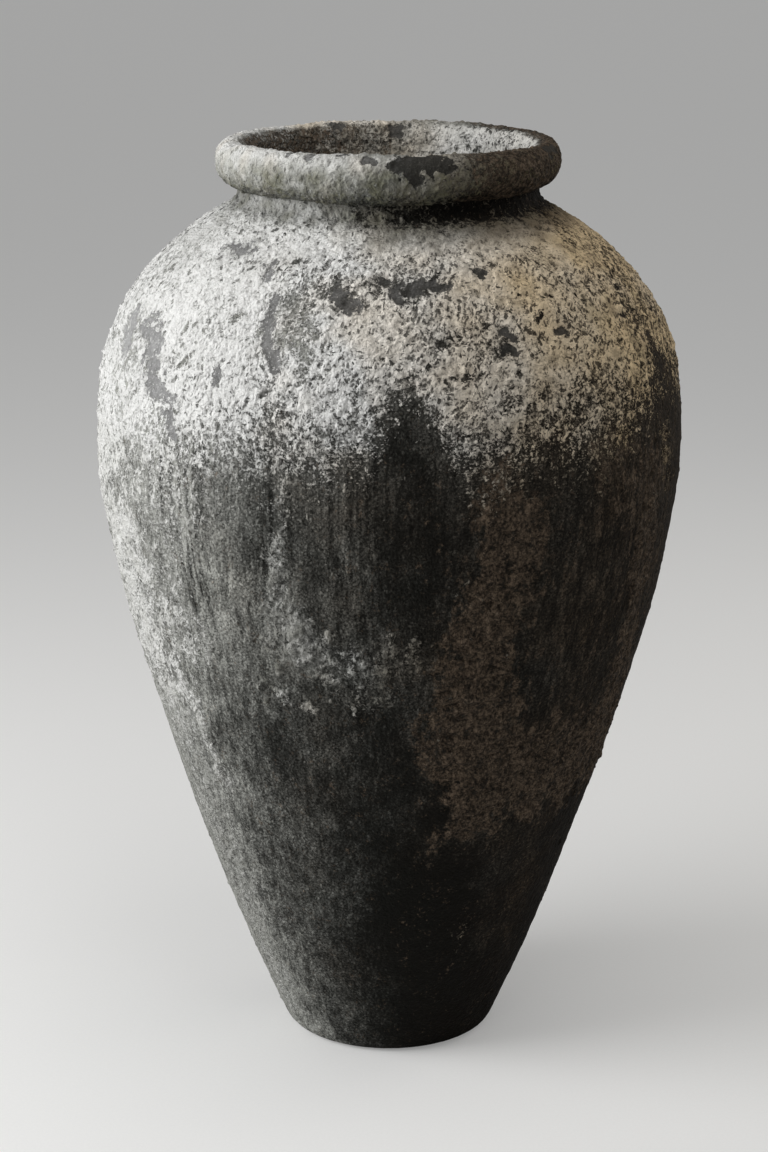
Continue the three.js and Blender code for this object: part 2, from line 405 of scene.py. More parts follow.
# Tone of the bare ground, lighter or darker
GROUND_TONE = 0.20
GROUND = [
    (.38, .9, [(-76, 860, 180), (-74, 500, 160), (-70, 40, 100)]),
    (.16, 1.0, [(-50, 860, 90), (-50, 480, 110), (-48, 60, 80)]),
    (.12, .9, [(-36, 860, 70), (-36, 560, 60)]),
    (.10, .9, [(-50, 830, 90), (-47, 700, 90), (-43, 600, 64)]),
    (.06, .9, [(-32, 800, 44), (-31, 640, 44)]),
    (-.09, .9, [(-58, 370, 100), (-52, 230, 100)]),
    # The next row darkens the lower right edge of the flank: painted shade.
    (-.09, .9, [(64, 330, 70), (66, 180, 70), (66, 50, 60)]),
    (.14, .9, [(-21, 720, 40), (-20, 610, 60)]),
    (.30, .9, [(-66, 1080, 90), (-60, 960, 120), (-30, 1030, 80), (-20, 1000, 60)]),
    (-.12, .8, [(3, 900, 40), (4, 780, 58), (3, 690, 62), (5, 640, 44)]),
    (-.13, .9, [(-2, 520, 70), (0, 380, 90), (4, 200, 110)]),
    (-.14, .9, [(12, 240, 110), (24, 120, 90), (10, 40, 90)]),
    (.06, .9, [(62, 780, 60), (64, 640, 50)]),
    (.03, .6, [(36, 720, 60), (40, 600, 60)]),
    (.14, .9, [(120, 800, 120), (124, 420, 110), (124, 120, 80)]),
    (-.12, .9, [(160, 780, 50), (158, 520, 60), (160, 240, 60)]),
    (-.14, .9, [(-96, 760, 40), (-92, 420, 44), (-96, 200, 40)]),
    (.18, .9, [(-150, 700, 110), (-150, 300, 80)]),
]
# Darker places with crisp edges: how much darker, softness, stops
CHARRED_PATCHES = [
    (.10, .8, [(-26, 500, 34), (-24, 450, 40)]),
    (.04, .9, [(-18, 430, 40), (-13, 400, 34)]),
    (.12, .6, [(-96, 640, 34), (-94, 470, 30)]),
    (.12, .6, [(148, 640, 40), (150, 500, 34)]),
]
# Brown gritty scum
BROWN = [
    (.90, .55, [(20, 830, 40), (20, 700, 46), (18.5, 610, 62), (18, 490, 82), (22, 400, 80)]),
    (.90, .55, [(34, 450, 84), (48, 430, 94), (64, 440, 90)]),
    (.72, .6, [(26, 800, 36), (27, 700, 30)]),
    (.60, .6, [(60, 820, 50), (60, 620, 50), (68, 420, 60)]),
    (.40, .6, [(44, 860, 60), (52, 780, 60)]),
    (.6, .8, [(100, 820, 90), (96, 520, 90), (92, 320, 60)]),
    (.5, .8, [(150, 660, 60), (146, 420, 60)]),
    (.4, .8, [(-130, 520, 60), (-126, 340, 60)]),
]
# Single dabs under the rim, on the flank and along the edge of the brown scum: degrees round, height,
# width and rise in millimetres
DABS = [
    (-43, 1134, 5, 2.2), (-38, 1128, 4, 1.6), (-36, 1119, 5, 2.0), (-30, 1124, 4, 1.3), (-25, 1130, 5, 1.8),
    (-21, 1117, 5, 1.8), (-15, 1118, 6, 2.2), (-12, 1128, 4, 1.6), (-6, 1126, 5, 1.8), (-2, 1121, 4, 1.4),
    (5, 1124, 4, 1.2), (-52, 1122, 5, 1.6), (-60, 1130, 5, 1.5), (-80, 1126, 6, 1.8), (40, 1126, 5, 1.4),
    (75, 1124, 5, 1.6), (118, 1128, 5, 1.8), (160, 1122, 6, 2.0), (-150, 1126, 6, 2.0),
    (-118, 1122, 5, 1.6), (14.6, 714, 5, 1.8), (12.8, 699, 5, 2.0), (9.8, 666, 4, 1.4), (8.2, 634, 5, 1.6),
    (8.8, 602, 4, 1.4), (18, 690, 5, 1.4), (21, 664, 6, 1.4), (16, 640, 5, 1.4), (7.4, 566, 5, 1.6),
    (13, 560, 5, 1.3), (24, 610, 5, 1.3), (11, 500, 5, 1.4), (-28, 566, 5, 2.0), (-27, 548, 4, 1.6),
    (-22, 560, 5, 1.8), (-17, 548, 6, 2.0), (-12.5, 556, 4, 1.6), (-12, 650, 4, 1.5), (-7.5, 544, 4, 1.5),
    (-2, 534, 4, 1.5), (-23, 596, 4, 1.4), (-16, 612, 4, 1.4), (-5, 606, 4, 1.3), (1, 626, 4, 1.3),
]
# Where the runs of rainwater show
RUNS = [
    (1, .8, [(-42, 840, 70), (-42, 700, 70)]),
    (.8, .8, [(-24, 820, 40), (-24, 640, 40)]),
    (.7, .8, [(-6, 860, 60), (-3, 640, 60), (-2, 470, 50)]),
    (.6, .6, [(38, 740, 60), (40, 600, 60)]),
    (1, .8, [(56, 740, 60), (54, 600, 50)]),
    (.9, .9, [(140, 820, 120), (140, 560, 120)]),
    (.9, .9, [(-120, 820, 120), (-120, 560, 120)]),
    (.6, .7, [(5, 1045, 26), (6, 990, 30)]),
]


def round_table(degrees, rows, column=1):
    """Reads a table that goes round the jar."""
    table = np.array(rows)
    return np.interp(degrees, table[:, 0], table[:, column])


def combine(skin, rows, straying=STRAY):
    """The strongest of several soft patches at each place."""
    best = np.zeros(skin.slope.shape)
    for share, softness, stops in rows:
        best = np.maximum(best, share * smooth(0, softness, skin.patch(stops, straying)))
    return best


def stuck_grains(skin, share, count, seed, least, most):
    """Grains stuck on the clay, more where the share is high: each one a small dome, in millimetres."""
    rng = np.random.default_rng(seed)
    rows = len(skin.along)
    relief = np.zeros(skin.slope.shape)
    for _ in range(count):
        i = rng.integers(3, rows - 3)
        j = rng.integers(0, COLUMNS)
        wide = rng.uniform(least, most)
        tall = rng.uniform(0.5, 1.3) * wide * 0.5
        keep = rng.uniform()
        if keep > share[i, j]:
            continue
        a = slice(max(0, i - GRAIN_ROWS), min(rows, i + GRAIN_ROWS + 1))
        b = np.arange(j - GRAIN_COLUMNS, j + GRAIN_COLUMNS + 1) % COLUMNS
        here = skin.points[a][:, b]
        gap = np.linalg.norm(here - skin.points[i, j], axis=2) / MM
        dome = tall * np.clip(1 - (gap / wide) ** 2, 0, 1) ** 0.7
        relief[a, b] = np.maximum(relief[a, b], dome)
    return relief


def dabs(skin, rows):
    """Single lumps of clay, each with a pit on its right hand side, in millimetres."""
    relief = np.zeros(skin.slope.shape)
    up = skin.along[:, None] / MM
    reach = skin.radius / MM * math.pi / 180
    for degrees, height, wide, tall in rows:
        x = ((skin.round - degrees + 180) % 360 - 180) * reach
        y = up - up_the_body(height * MM) / MM
        relief += tall * np.exp(-((x / wide) ** 2 + (y / wide / 1.2) ** 2))
        pit_x = (x - 1.3 * wide) / wide / 0.6
        pit_y = (y + 0.5 * wide) / wide / 0.7
        relief -= 0.8 * tall * np.exp(-(pit_x ** 2 + pit_y ** 2))
    return relief


def out_of_true(skin):
    """How a big hand-raised jar departs from a circle, in millimetres."""
    a = np.radians(skin.round)
    h = skin.height
    drift = 1.3 * np.cos(2 * a - 0.6 - 1.1 * h) * smooth(0.02, 0.5, h)
    drift = drift + 0.8 * np.cos(3 * a + 1.0 + 2.0 * h) * smooth(0.1, 0.6, h)
    waves = 0.22 * np.sin(h / 0.0062 + 0.8 * np.sin(a)) * smooth(0.03, 0.1, h) * smooth(1.14, 1.05, h)
    return drift + waves + 0.9 * skin.noise(0.17, 11) + 0.4 * skin.noise(0.07, 12)


def flaked_marks(skin, rows):
    """Where the crust is off, above 0, and how pale the clay under it still is."""
    bare = np.full(skin.slope.shape, OUTSIDE)
    ghost = np.zeros(skin.slope.shape)
    for pale, stops in rows:
        here = 1.6 * skin.patch(stops, FLAKED_STRAY)
        ghost = np.where(here > bare, pale, ghost)
        bare = np.maximum(bare, here)
    return bare, ghost


def weather_body(skin):
    a = skin.round
    z = skin.height / MM
    n90 = skin.noise(0.09, 1)
    n45 = skin.noise(0.045, 2)
    n22 = skin.noise(0.022, 3)
    n11 = skin.noise(0.011, 4)
    n7 = skin.noise(0.0066, 5)
    run = skin.noise((0.009, 0.009, 0.30), 6)
    blot = skin.noise(0.033, 7)

    # Crust
    behind = smooth(84, 110, np.abs(a))
    foot = round_table(a, CRUST_FOOT) + (9 + 8 * behind) * n45 + 9 * n22 + 7 * run
    dense = round_table(a, CRUST_SHARE) + 0.05 * n90
    share = dense * smooth(-34, 26, z - foot)
    reach = round_table(a, CRUST_APRON, 1)
    most = round_table(a, CRUST_APRON, 2)
    fall = np.clip((z - foot + 8 * run) / reach + 1, 0, 1)
    dry = smooth(-4, 3, a) * smooth(15, 9, a)
    apron = most * fall ** 1.3 * (1 - 0.7 * dry)
    share = np.maximum(share, apron)
    share = share + 0.10 * smooth(1068, 1096, z)
    neck = smooth(1108, 1124, z)
    # From the front round the right side, the neck under the rim gets less crust, more grey and a darker
    # ground: painted shadow of the rim, over darker clay. A little crust is worn off the neck all round.
    shadowed_dark_neck = smooth(1082, 1112, z) * smooth(-24, 4, a) * smooth(170, 130, a)
    neck_shade_and_wear = 0.04 + 0.36 * smooth(-26, -8, a) + 0.34 * smooth(-6, 10, a) * smooth(170, 130, a)
    share = share * (1 - neck * neck_shade_and_wear)
    share = share - combine(skin, WORN)
    low_crust = combine(skin, FLANK_CRUST)
    share = np.maximum(share, low_crust * (1 + 0.14 * n45 + 0.14 * n22 + 0.10 * run))
    share = np.clip(share + 0.04 * n22, 0.03, 0.97)
    upper = smooth(820, 900, z - 0.4 * (foot - 890))
    grain = 0.50 * n45 + 0.50 * n22 + 0.50 * n11 + 0.50 * n7
    crust = likely(share) + (0.24 + 0.10 * upper) * grain - 0.10 * (1 - upper)
    peaks = dabs(skin, DABS)
    # Lime on the tops of the dabs: partly lime dust, partly a painted highlight on their lit tops.
    crust = crust + 1.4 * np.clip(peaks, 0, 2.0) * (1 - 0.6 * upper)
    gaps = round_table(a, GAPS) * (1 + 0.45 * n45 + 0.45 * n22)
    gaps = gaps * smooth(1100, 1056, z) + 0.05 + 0.16 * smooth(1086, 1104, z) * smooth(0, -20, a)
    worn_front = smooth(-36, -24, a) * smooth(14, 2, a)
    gaps = gaps + 0.34 * worn_front * smooth(1024, 1040, z) * smooth(1096, 1070, z)
    lit_side = smooth(-48, -62, a) * smooth(-100, -84, a)
    gaps = gaps + 0.5 * smooth(930, 880, z) * (1 - 0.7 * lit_side)

    # Flaked places
    bare, ghost = flaked_marks(skin, FLAKED)
    bare = bare + 0.10 * n22 + 0.32 * n11 + 0.42 * n7
    ghost = np.clip(ghost + 0.03 * n22 + 0.05 * n11, 0, 1)

    # Ground, scum and grime, with painted shade on the right side and under the rim
    # On the right side the ground is painted darker: painted shade on the side away from the lamp. The same
    # mask adds brown scum there.
    shade_and_scum_side = smooth(3, 16, a) * smooth(115, 85, a)
    tone = GROUND_TONE - 0.09 * shade_and_scum_side * (1 - 0.3 * smooth(760, 840, z))
    for amount, softness, stops in GROUND:
        tone = tone + amount * smooth(-0.25, softness, skin.patch(stops, GROUND_STRAY))
    tone = tone - combine(skin, CHARRED_PATCHES, CHARRED_STRAY)
    # The neck's ground is painted darker on the right: painted shadow of the rim.
    tone = tone - 0.12 * neck * smooth(-30, -8, a) * smooth(170, 130, a)
    tone = tone - 0.05 * smooth(180, 60, z) * smooth(-20, 10, a) * smooth(120, 90, a)
    streak = np.maximum(combine(skin, RUNS), 0.4 * smooth(900, 840, z))
    run_tone = (0.03 + 0.12 * streak) * run * smooth(0, 0.4, tone)
    tone = tone + 0.012 * n45 + 0.012 * blot + 0.012 * n22 + run_tone
    brown = combine(skin, BROWN)
    brown = brown + (0.10 + 0.30 * shade_and_scum_side) * smooth(0, 1.4, run) * smooth(880, 820, z) * smooth(300, 400, z)
    brown = brown * (1 + 0.12 * run + 0.12 * n22)
    left = smooth(24, -34, a) * smooth(-150, -110, a)
    # Tan on the right side and at the back: partly tan stain, and on the right side partly painted warm
    # bounce light.
    warm = smooth(-30, 75, a) * smooth(150, 110, a) + 0.35 * smooth(120, 150, np.abs(a))
    warm = np.clip(warm + (0.12 * n90 + 0.06 * blot) * smooth(-45, -5, a), 0, 1)
    high = smooth(820, 890, z)
    # Grey over the lime: grime, and under the rim on the right painted shadow of the rim.
    grime = 0.80 * (1 - high) + 0.04 * high + 0.06 * n45 + 0.06 * blot + 0.06 * n22
    left_flank = smooth(-26, -50, a) * smooth(-150, -110, a) * (1 - high)
    grime = grime - (0.35 + 0.30 * smooth(380, 540, z)) * left_flank
    cleaner = 0.25 * smooth(700, 860, z) + 0.30 * low_crust * smooth(-34, -20, a) * smooth(0, -10, a)
    grime = grime - cleaner * (1 - high)
    grime = grime + 0.12 * smooth(1050, 1085, z) + 0.40 * neck + 0.75 * shadowed_dark_neck
    grime = grime + 0.10 * smooth(-14, -44, a) * smooth(-170, -120, a) * smooth(1020, 1060, z)
    grime = grime + 0.08 * smooth(-54, -66, a) * smooth(-100, -80, a) * smooth(960, 1010, z)
    moss = 0.35 * smooth(1095, 1120, z) * (0.4 + 0.3 * n22) + 0.22 * (1 - high) * left
    moss = moss + 0.3 * smooth(20, 60, a) * smooth(1100, 1050, z) * high * smooth(0.2, 1.2, blot)
    grit = np.clip(0.25 + 0.6 * brown + 0.5 * smooth(0.1, 0.5, low_crust) + 0.3 * high, 0, 1)

    # Relief
    whole = 1 - smooth(-0.1, 0.35, bare)
    cover = smooth(-0.5, 0.8, crust) * whole
    thick = 0.7 + 0.3 * high
    relief = out_of_true(skin)
    relief = relief + thick * cover * (1.0 + 0.30 * n22 + 0.45 * n11 + 0.35 * n7)
    edge = smooth(56, 74, a) * smooth(130, 106, a)
    rough = 0.14 + 0.26 * grit + 0.42 * brown + 1.0 * low_crust * smooth(-60, -30, a)
    knobbly = rough * (n7 + 0.9 * n11 + 0.5 * n22) + 0.8 * brown * (1 - edge) * (n22 + 0.5 * n11)
    relief = relief + knobbly * whole
    relief = relief - 0.25 * smooth(0, 0.5, bare) + 1.5 * peaks
    knobs = np.clip(0.08 + 0.3 * cover * high + 0.4 * brown + 0.4 * low_crust, 0, 1)
    relief = relief + stuck_grains(skin, knobs, *BODY_GRAINS)
    lumps = np.clip(0.8 * (brown + low_crust * smooth(-44, -24, a)) - 0.1, 0, 1)
    lumps = lumps * (1 - high) * (1 - 0.9 * edge)
    relief = relief + 0.7 * stuck_grains(skin, lumps, *BODY_LUMPS)
    skin.lay(relief * smooth(0, 0.004, CREASE - skin.height) * smooth(-0.004, 0.02, skin.height))
    skin.set_marks(crust=crust, share=share, bare=bare, ghost=ghost, tone=tone, streak=streak, brown=brown,
                   warm=warm, grime=grime, moss=moss, grit=grit, slope=skin.slope, gaps=gaps, inside=0)


# Flaked places on the roll: how pale, and stops with millimetres out of the crease in place of a height.
# 50 is the widest line, 84 the crest and 123 the lip
ROLL_FLAKED = [
    (0, [(1, 62, 12), (7, 66, 17), (14, 64, 15), (20, 65, 10)]),
    (0, [(5, 74, 8), (12, 78, 8), (18, 76, 8)]),
    (.04, [(11, 84, 7), (15, 96, 11), (18, 104, 12), (22, 112, 10)]),
    (.10, [(3, 76, 4)]),
    (.20, [(-8, 71, 6), (-5, 70, 4)]),
    (.12, [(-11, 112, 11), (-5, 110, 7)]),
    (.34, [(-27, 78, 6), (-26, 88, 4)]),
    (.36, [(-36, 80, 5), (-36, 92, 4)]),
    (.20, [(-18, 82, 3), (-14, 84, 3)]),
    (.10, [(-2, 88, 4)]),
    (.06, [(70, 66, 10), (80, 70, 9)]),
    (.08, [(112, 84, 12)]),
    (.10, [(150, 62, 14), (158, 70, 9)]),
    (.20, [(-120, 70, 12), (-112, 66, 8)]),
    (.15, [(-160, 92, 14)]),
    (.10, [(178, 106, 11)]),
]


def weather_roll(skin):
    a = skin.round
    out = skin.along[:, None] / MM
    n45 = skin.noise(0.045, 2)
    n22 = skin.noise(0.022, 3)
    n11 = skin.noise(0.010, 4)
    n7 = skin.noise(0.006, 5)
    blot = skin.noise(0.033, 7)

    # The underside of the roll is darker, greener and less crusted: partly olive moss, partly painted shade
    # under the roll.
    under = smooth(42, 12, out)
    left = smooth(30, -40, a) * smooth(-175, -140, a)
    # The roll's right side is darker and browner, with less crust: painted shade on the side away from the
    # lamp, with brown scum.
    shade_and_scum_side = smooth(14, 40, a) * smooth(165, 125, a)
    mouth = smooth(90, 102, out)
    # Inside the mouth the left wall is darker and browner with less crust, partly brown earth and partly
    # painted shade; the right wall is paler with fewer gaps and less grime, partly painted light where the
    # lamp falls on it.
    earthy_shaded_mouth = mouth * smooth(-30, -60, a) + mouth * smooth(178, 180, a)
    earthy_shaded_mouth = earthy_shaded_mouth * (1 - 0.55 * smooth(-140, -172, a))
    pale_lit_side = smooth(30, 60, a) * smooth(175, 150, a)
    share = 0.95 - 0.06 * under - 0.10 * mouth - 0.52 * earthy_shaded_mouth
    share = share - 0.68 * shade_and_scum_side * (1 - mouth) - 0.34 * under
    share = share + 0.03 * n45
    crust = likely(share) + 0.36 * (0.5 * n45 + 0.5 * n22 + 0.5 * n11 + 0.42 * n7)
    gaps = 0.16 + 0.04 * (1 - left) + 0.10 * under + (0.22 - 0.16 * pale_lit_side) * mouth
    gaps = gaps + 0.08 * np.clip(n22, 0, 2)
    bare, ghost = flaked_marks(skin, ROLL_FLAKED)
    bare = 1.8 * (bare + 0.1 * n22 + 0.22 * n11 + 0.26 * n7)
    tone = 0.36 - 0.26 * under + 0.25 * left + 0.04 * blot - 0.2 * shade_and_scum_side - 0.2 * earthy_shaded_mouth
    # Tan on the roll's right side and back: partly tan stain, partly painted warm bounce light; less of it on
    # the lit side of the mouth.
    warm = smooth(-20, 75, a) * smooth(150, 110, a) + 0.35 * smooth(120, 150, np.abs(a))
    warm = np.clip(warm + 0.1 * blot, 0, 1) * (1 - 0.9 * smooth(80, 92, out) * pale_lit_side)
    outer_shade_and_scum_side = shade_and_scum_side * (1 - mouth)
    # Grey over the roll's lime: grime, with painted shade on the underside and the right side.
    grime = 0.10 + 0.55 * under + 0.10 * n22 + 0.82 * outer_shade_and_scum_side - 0.1 * outer_shade_and_scum_side * smooth(-0.3, 1, n11)
    outer = 0.20 * smooth(-60, -36, a) + 0.10 * n11 + 0.30 * smooth(68, 44, out)
    grime = grime + (outer + 0.34 * smooth(-22, 2, a) * (1 - shade_and_scum_side)) * (1 - mouth)
    grime = grime + mouth * (0.5 - 0.36 * pale_lit_side)
    moss = 0.46 * smooth(16, 34, out) * smooth(76, 46, out) * (0.9 + 0.15 * n22) + 0.5 * under + 0.12
    brown = 0.9 * outer_shade_and_scum_side + 0.95 * earthy_shaded_mouth
    grit = 0.5 + 0.3 * mouth

    cover = smooth(-0.5, 0.8, crust) * (1 - smooth(-0.1, 0.35, bare))
    a_rad = np.radians(a)
    sway = 0.9 * np.cos(2 * a_rad + 0.4) + 0.6 * np.cos(3 * a_rad - 1.2) + 0.35 * np.cos(7 * a_rad)
    relief = sway + 0.8 * skin.noise(0.09, 11) + 0.35 * skin.noise(0.04, 12)
    relief = relief + cover * (1.0 + 0.12 * n22 + 0.24 * n11) + 0.54 * n7 * (1 - smooth(0, 0.4, bare))
    relief = relief - 0.5 * smooth(0, 0.5, bare)
    relief = relief + stuck_grains(skin, 0.2 + 0.6 * cover, *ROLL_GRAINS)
    ends = smooth(0, 8, out) * smooth(0, 6, ROLL_LENGTH[-1] / MM - out)
    skin.lay(relief * ends)
    skin.set_marks(crust=crust, share=share, bare=bare, ghost=ghost, tone=tone, streak=0, brown=brown,
                   warm=warm, grime=grime, moss=moss, grit=grit, slope=skin.slope, gaps=gaps,
                   inside=smooth(134, 150, out))


# The marks that the finish reads, with their values inside the jar and on the seats
INSIDE_MARKS = {"crust": -0.4, "share": 0.3, "bare": -9, "ghost": 0, "tone": 0.3, "streak": 0.3, "brown": 0.5,
                "warm": 0.5, "grime": 0.5, "moss": 0.1, "grit": 0.4, "slope": 1.57, "gaps": 0.5,
                "inside": 1}
MARKS = tuple(INSIDE_MARKS)


class Row:
    """One circle of points. Kind says which face it starts: skin, seat or inner."""

    def __init__(self, kind, points, normals=None, marks=INSIDE_MARKS):
        self.kind = kind
        self.points = np.asarray(points, float).reshape(-1, 3)
        self.normals = normals
        count = len(self.points)
        self.marks = np.array([np.broadcast_to(marks[k], count) for k in MARKS], np.float32)


def skin_rows(skin, first, last):
    rows = []
    for i in range(first, last + 1):
        marks = {k: skin.marks[k][i] for k in MARKS}
        rows.append(Row("skin", skin.laid[i], skin.normals[i], marks))
    return rows


def plain_row(kind, radius, height):
    degrees = bearings(INNER_COLUMNS)
    return Row(kind, turn(np.broadcast_to(radius, INNER_COLUMNS), height, degrees))


def finger_ridges(height):
    """Inside, the ridges that the potter's fingers leave while drawing the wall up, in millimetres."""
    a = np.radians(bearings(INNER_COLUMNS))
    climb = 0.55 * np.sin(height / 0.0035 + a)
    drift = 0.8 * np.sin(2 * a + 3 * height) + 0.5 * np.sin(5 * a - 7 * height + 1)
    return (climb + drift) * smooth(0.075, 0.11, height) * smooth(0, 0.02, CREASE - height)


def inner_rows(bottom, top):
    """Down the inside from the upper seam to the lower one."""
    length = np.hypot(inner_radius(top) - inner_radius(bottom), top - bottom)
    steps = max(2, round(length / INNER_STEP))
    rows = []
    for height in np.linspace(top, bottom, steps + 1):
        radius = inner_radius(height) - finger_ridges(height) * MM
        rows.append(plain_row("inner", radius, height))
    return rows


def seat_middle(height):
    return (outer_radius(height) + inner_radius(height)) / 2


def wedge_rows(height, half, deep, side):
    """The three circles of a tongue or a groove. Side 1 starts at its outer edge, -1 at its inner one."""
    middle = seat_middle(height)
    return [plain_row("seat", middle + side * half, height), plain_row("seat", middle, height - deep),
            plain_row("seat", middle - side * half, height)]


def groove_rows(height):
    side = math.hypot(TONGUE_WIDTH / 2, TONGUE_DEPTH)
    half = TONGUE_WIDTH / 2 + LUTE_GAP * side / TONGUE_DEPTH
    deep = TONGUE_DEPTH + LUTE_GAP * side / (TONGUE_WIDTH / 2)
    return wedge_rows(height, half, deep, 1)


def tongue_rows(height):
    return wedge_rows(height, TONGUE_WIDTH / 2, TONGUE_DEPTH, -1)


# Joining rows into a mesh

def put_in_scene(name, data):
    made = bpy.data.objects.new(name, data)
    bpy.context.scene.collection.objects.link(made)
    return made


def band_faces(first_row, count, next_row, next_count):
    """Faces between two circles of points, with five corners each where one circle has twice the points of
    the other. Returns the corners of every face and, for each, its place round the circle from 0 to 1."""
    if count == next_count:
        i = np.arange(count)
        j = (i + 1) % count
        faces = np.stack([first_row + i, first_row + j, next_row + j, next_row + i], 1)
        places = np.stack([i, i + 1, i + 1, i], 1) / count
        return faces, places
    few = min(count, next_count)
    i = np.arange(few)
    j = (i + 1) % few
    many = 2 * few
    if count > next_count:
        faces = np.stack([first_row + 2 * i, first_row + 2 * i + 1, first_row + (2 * i + 2) % many,
                          next_row + j, next_row + i], 1)
        places = np.stack([i, i + 0.5, i + 1, i + 1, i], 1) / few
    else:
        faces = np.stack([first_row + i, first_row + j, next_row + (2 * i + 2) % many,
                          next_row + 2 * i + 1, next_row + 2 * i], 1)
        places = np.stack([i, i + 1, i + 1, i + 0.5, i], 1) / few
    return faces, places


# The sheet that the finish is baked on: the skin in three strips, one strip each for inside and seats
STRIPS = 3
SHEET_GAP = 0.006
SHEET_SHARES = {"skin": 0.80, "inner": 0.13, "seat": 0.05}
SHEET_STARTS = {"skin": 0.0, "inner": SHEET_SHARES["skin"],
                "seat": SHEET_SHARES["skin"] + SHEET_SHARES["inner"]}


def sheet_places(kind, place, rise):
    """Where a corner lies on the baking sheet."""
    across = place.copy()
    base = SHEET_STARTS[kind]
    tall = SHEET_SHARES[kind]
    if kind == "skin":
        strip = np.minimum(np.floor(place.mean(1, keepdims=True) * STRIPS), STRIPS - 1)
        across = place * STRIPS - strip
        tall = tall / STRIPS
        base = base + strip * tall
    u = SHEET_GAP + across * (1 - 2 * SHEET_GAP)
    v = base + SHEET_GAP / 2 + rise * (tall - SHEET_GAP)
    return np.stack(np.broadcast_arrays(u, v), -1)


def clay_piece(name, rows):
    """A closed piece of clay from its circles of points, in order up the outside and down the inside."""
    counts = [len(r.points) for r in rows]
    starts = np.concatenate([[0], np.cumsum(counts)])
    points = np.vstack([r.points for r in rows])
    marks = np.hstack([r.marks for r in rows])
    pairs = [(i, (i + 1) % len(rows)) for i in range(len(rows))]
    runs = {"skin": 0.0, "inner": 0.0, "seat": 0.0}
    spans = []
    for i, j in pairs:
        kind = rows[i].kind if rows[i].kind == rows[j].kind else "seat"
        step = np.linalg.norm(rows[i].points[0] - rows[j].points[0]) + 1e-5
        spans.append((kind, runs[kind], runs[kind] + step))
        runs[kind] += step
    corner_lists = []
    sizes = []
    sheets = []
    normals = []
    for (i, j), (kind, low, high) in zip(pairs, spans):
        faces, places = band_faces(starts[i], counts[i], starts[j], counts[j])
        on_next = (faces >= starts[j]) & (faces < starts[j + 1])
        rise = np.where(on_next, high, low) / runs[kind]
        sheets.append(sheet_places(kind, places, rise).reshape(-1, 2))
        corner_lists.append(faces.reshape(-1))
        sizes.append(np.full(len(faces), faces.shape[1]))
        if kind == "skin":
            table = np.vstack([rows[i].normals, rows[j].normals])
            pick = np.where(on_next, faces - starts[j] + counts[i], faces - starts[i])
            normals.append(table[pick.reshape(-1)])
        else:
            corners = points[faces]
            flat = np.cross(corners[:, 2] - corners[:, 0], corners[:, 3] - corners[:, 1])
            flat /= np.linalg.norm(flat, axis=1)[:, None] + 1e-12
            if kind == "inner":
                flat = (flat + np.roll(flat, 1, 0) + np.roll(flat, -1, 0)) / 3
            normals.append(np.repeat(flat, faces.shape[1], axis=0))
    corners = np.concatenate(corner_lists)
    sizes = np.concatenate(sizes)
    mesh = bpy.data.meshes.new(name)
    mesh.vertices.add(len(points))
    mesh.vertices.foreach_set("co", points.astype(np.float32).ravel())
    mesh.loops.add(len(corners))
    mesh.loops.foreach_set("vertex_index", corners.astype(np.int32))
    mesh.polygons.add(len(sizes))
    mesh.polygons.foreach_set("loop_start", np.concatenate([[0], np.cumsum(sizes)[:-1]]).astype(np.int32))
    sheet = mesh.uv_layers.new(name="OFBake")
    sheet.data.foreach_set("uv", np.vstack(sheets).astype(np.float32).ravel())
    for k, mark in enumerate(MARKS):
        layer = mesh.attributes.new(mark, "FLOAT", "POINT")
        layer.data.foreach_set("value", marks[k])
    mesh.update(calc_edges=True)
    mesh.polygons.foreach_set("use_smooth", np.ones(len(sizes), bool))
    mesh.normals_split_custom_set(np.vstack(normals).astype(np.float32))
    return put_in_scene(name, mesh)


def seams():
    """Heights of the seats, read from the solids: each ring's top is the next one's seat."""
    heights = [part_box("base_slab")[1].z]
    for name in BODY_RINGS:
        heights.append(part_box(name)[1].z)
    return heights


def body_skin(heights):
    """Stops along the outside with a row exactly on every seam."""
    stops = list(np.linspace(0, up_the_body(heights[0]), FOOT_ROWS))
    cuts = [len(stops) - 1]
    for low, high in zip(heights, heights[1:]):
        a = up_the_body(low)
        b = up_the_body(high)
        step = NECK_STEP if high > CREASE - MM else SKIN_STEP
        count = min(MOST_ROWS, math.ceil((b - a) / step))
        stops.extend(np.linspace(a, b, count + 1)[1:])
        cuts.append(len(stops) - 1)
    skin = Skin(BODY_LINE, BODY_LENGTH, stops, False)
    weather_body(skin)
    return skin, cuts


def roll_skin():
    stops = np.linspace(0, ROLL_LENGTH[-1], ROLL_ROWS)
    skin = Skin(ROLL_LINE, ROLL_LENGTH, stops, True)
    weather_roll(skin)
    return skin


def centre_rows(radii, height, sink):
    """Circles towards the axis, each with half the points of the last where they crowd."""
    rows = []
    count = INNER_COLUMNS
    for radius in radii:
        while count > FEWEST_POINTS and 2 * math.pi * radius / count < CLOSEST_POINTS:
            count //= 2
        degrees = bearings(count)
        level = height + sink * MM * (1 + np.sin(3 * np.radians(degrees) + radius * 40)) / 2
        rows.append(Row("inner", turn(np.full(count, radius), level, degrees)))
    return rows


def make_base_slab(skin, cuts, heights):
    """The disc under everything: worn underside, rounded edge, grooved seat, and its floor inside the jar."""
    under = centre_rows(np.linspace(AXIS_RADIUS, UNDERSIDE_RADIUS, UNDERSIDE_ROWS), 0, UNDERSIDE_WEAR)
    edge = skin_rows(skin, 0, cuts[0]) + groove_rows(heights[0])
    top = centre_rows(np.linspace(inner_radius(heights[0]), AXIS_RADIUS, INNER_FLOOR_ROWS), heights[0], 0.0)
    return clay_piece("base_slab_turned", under + edge + top)


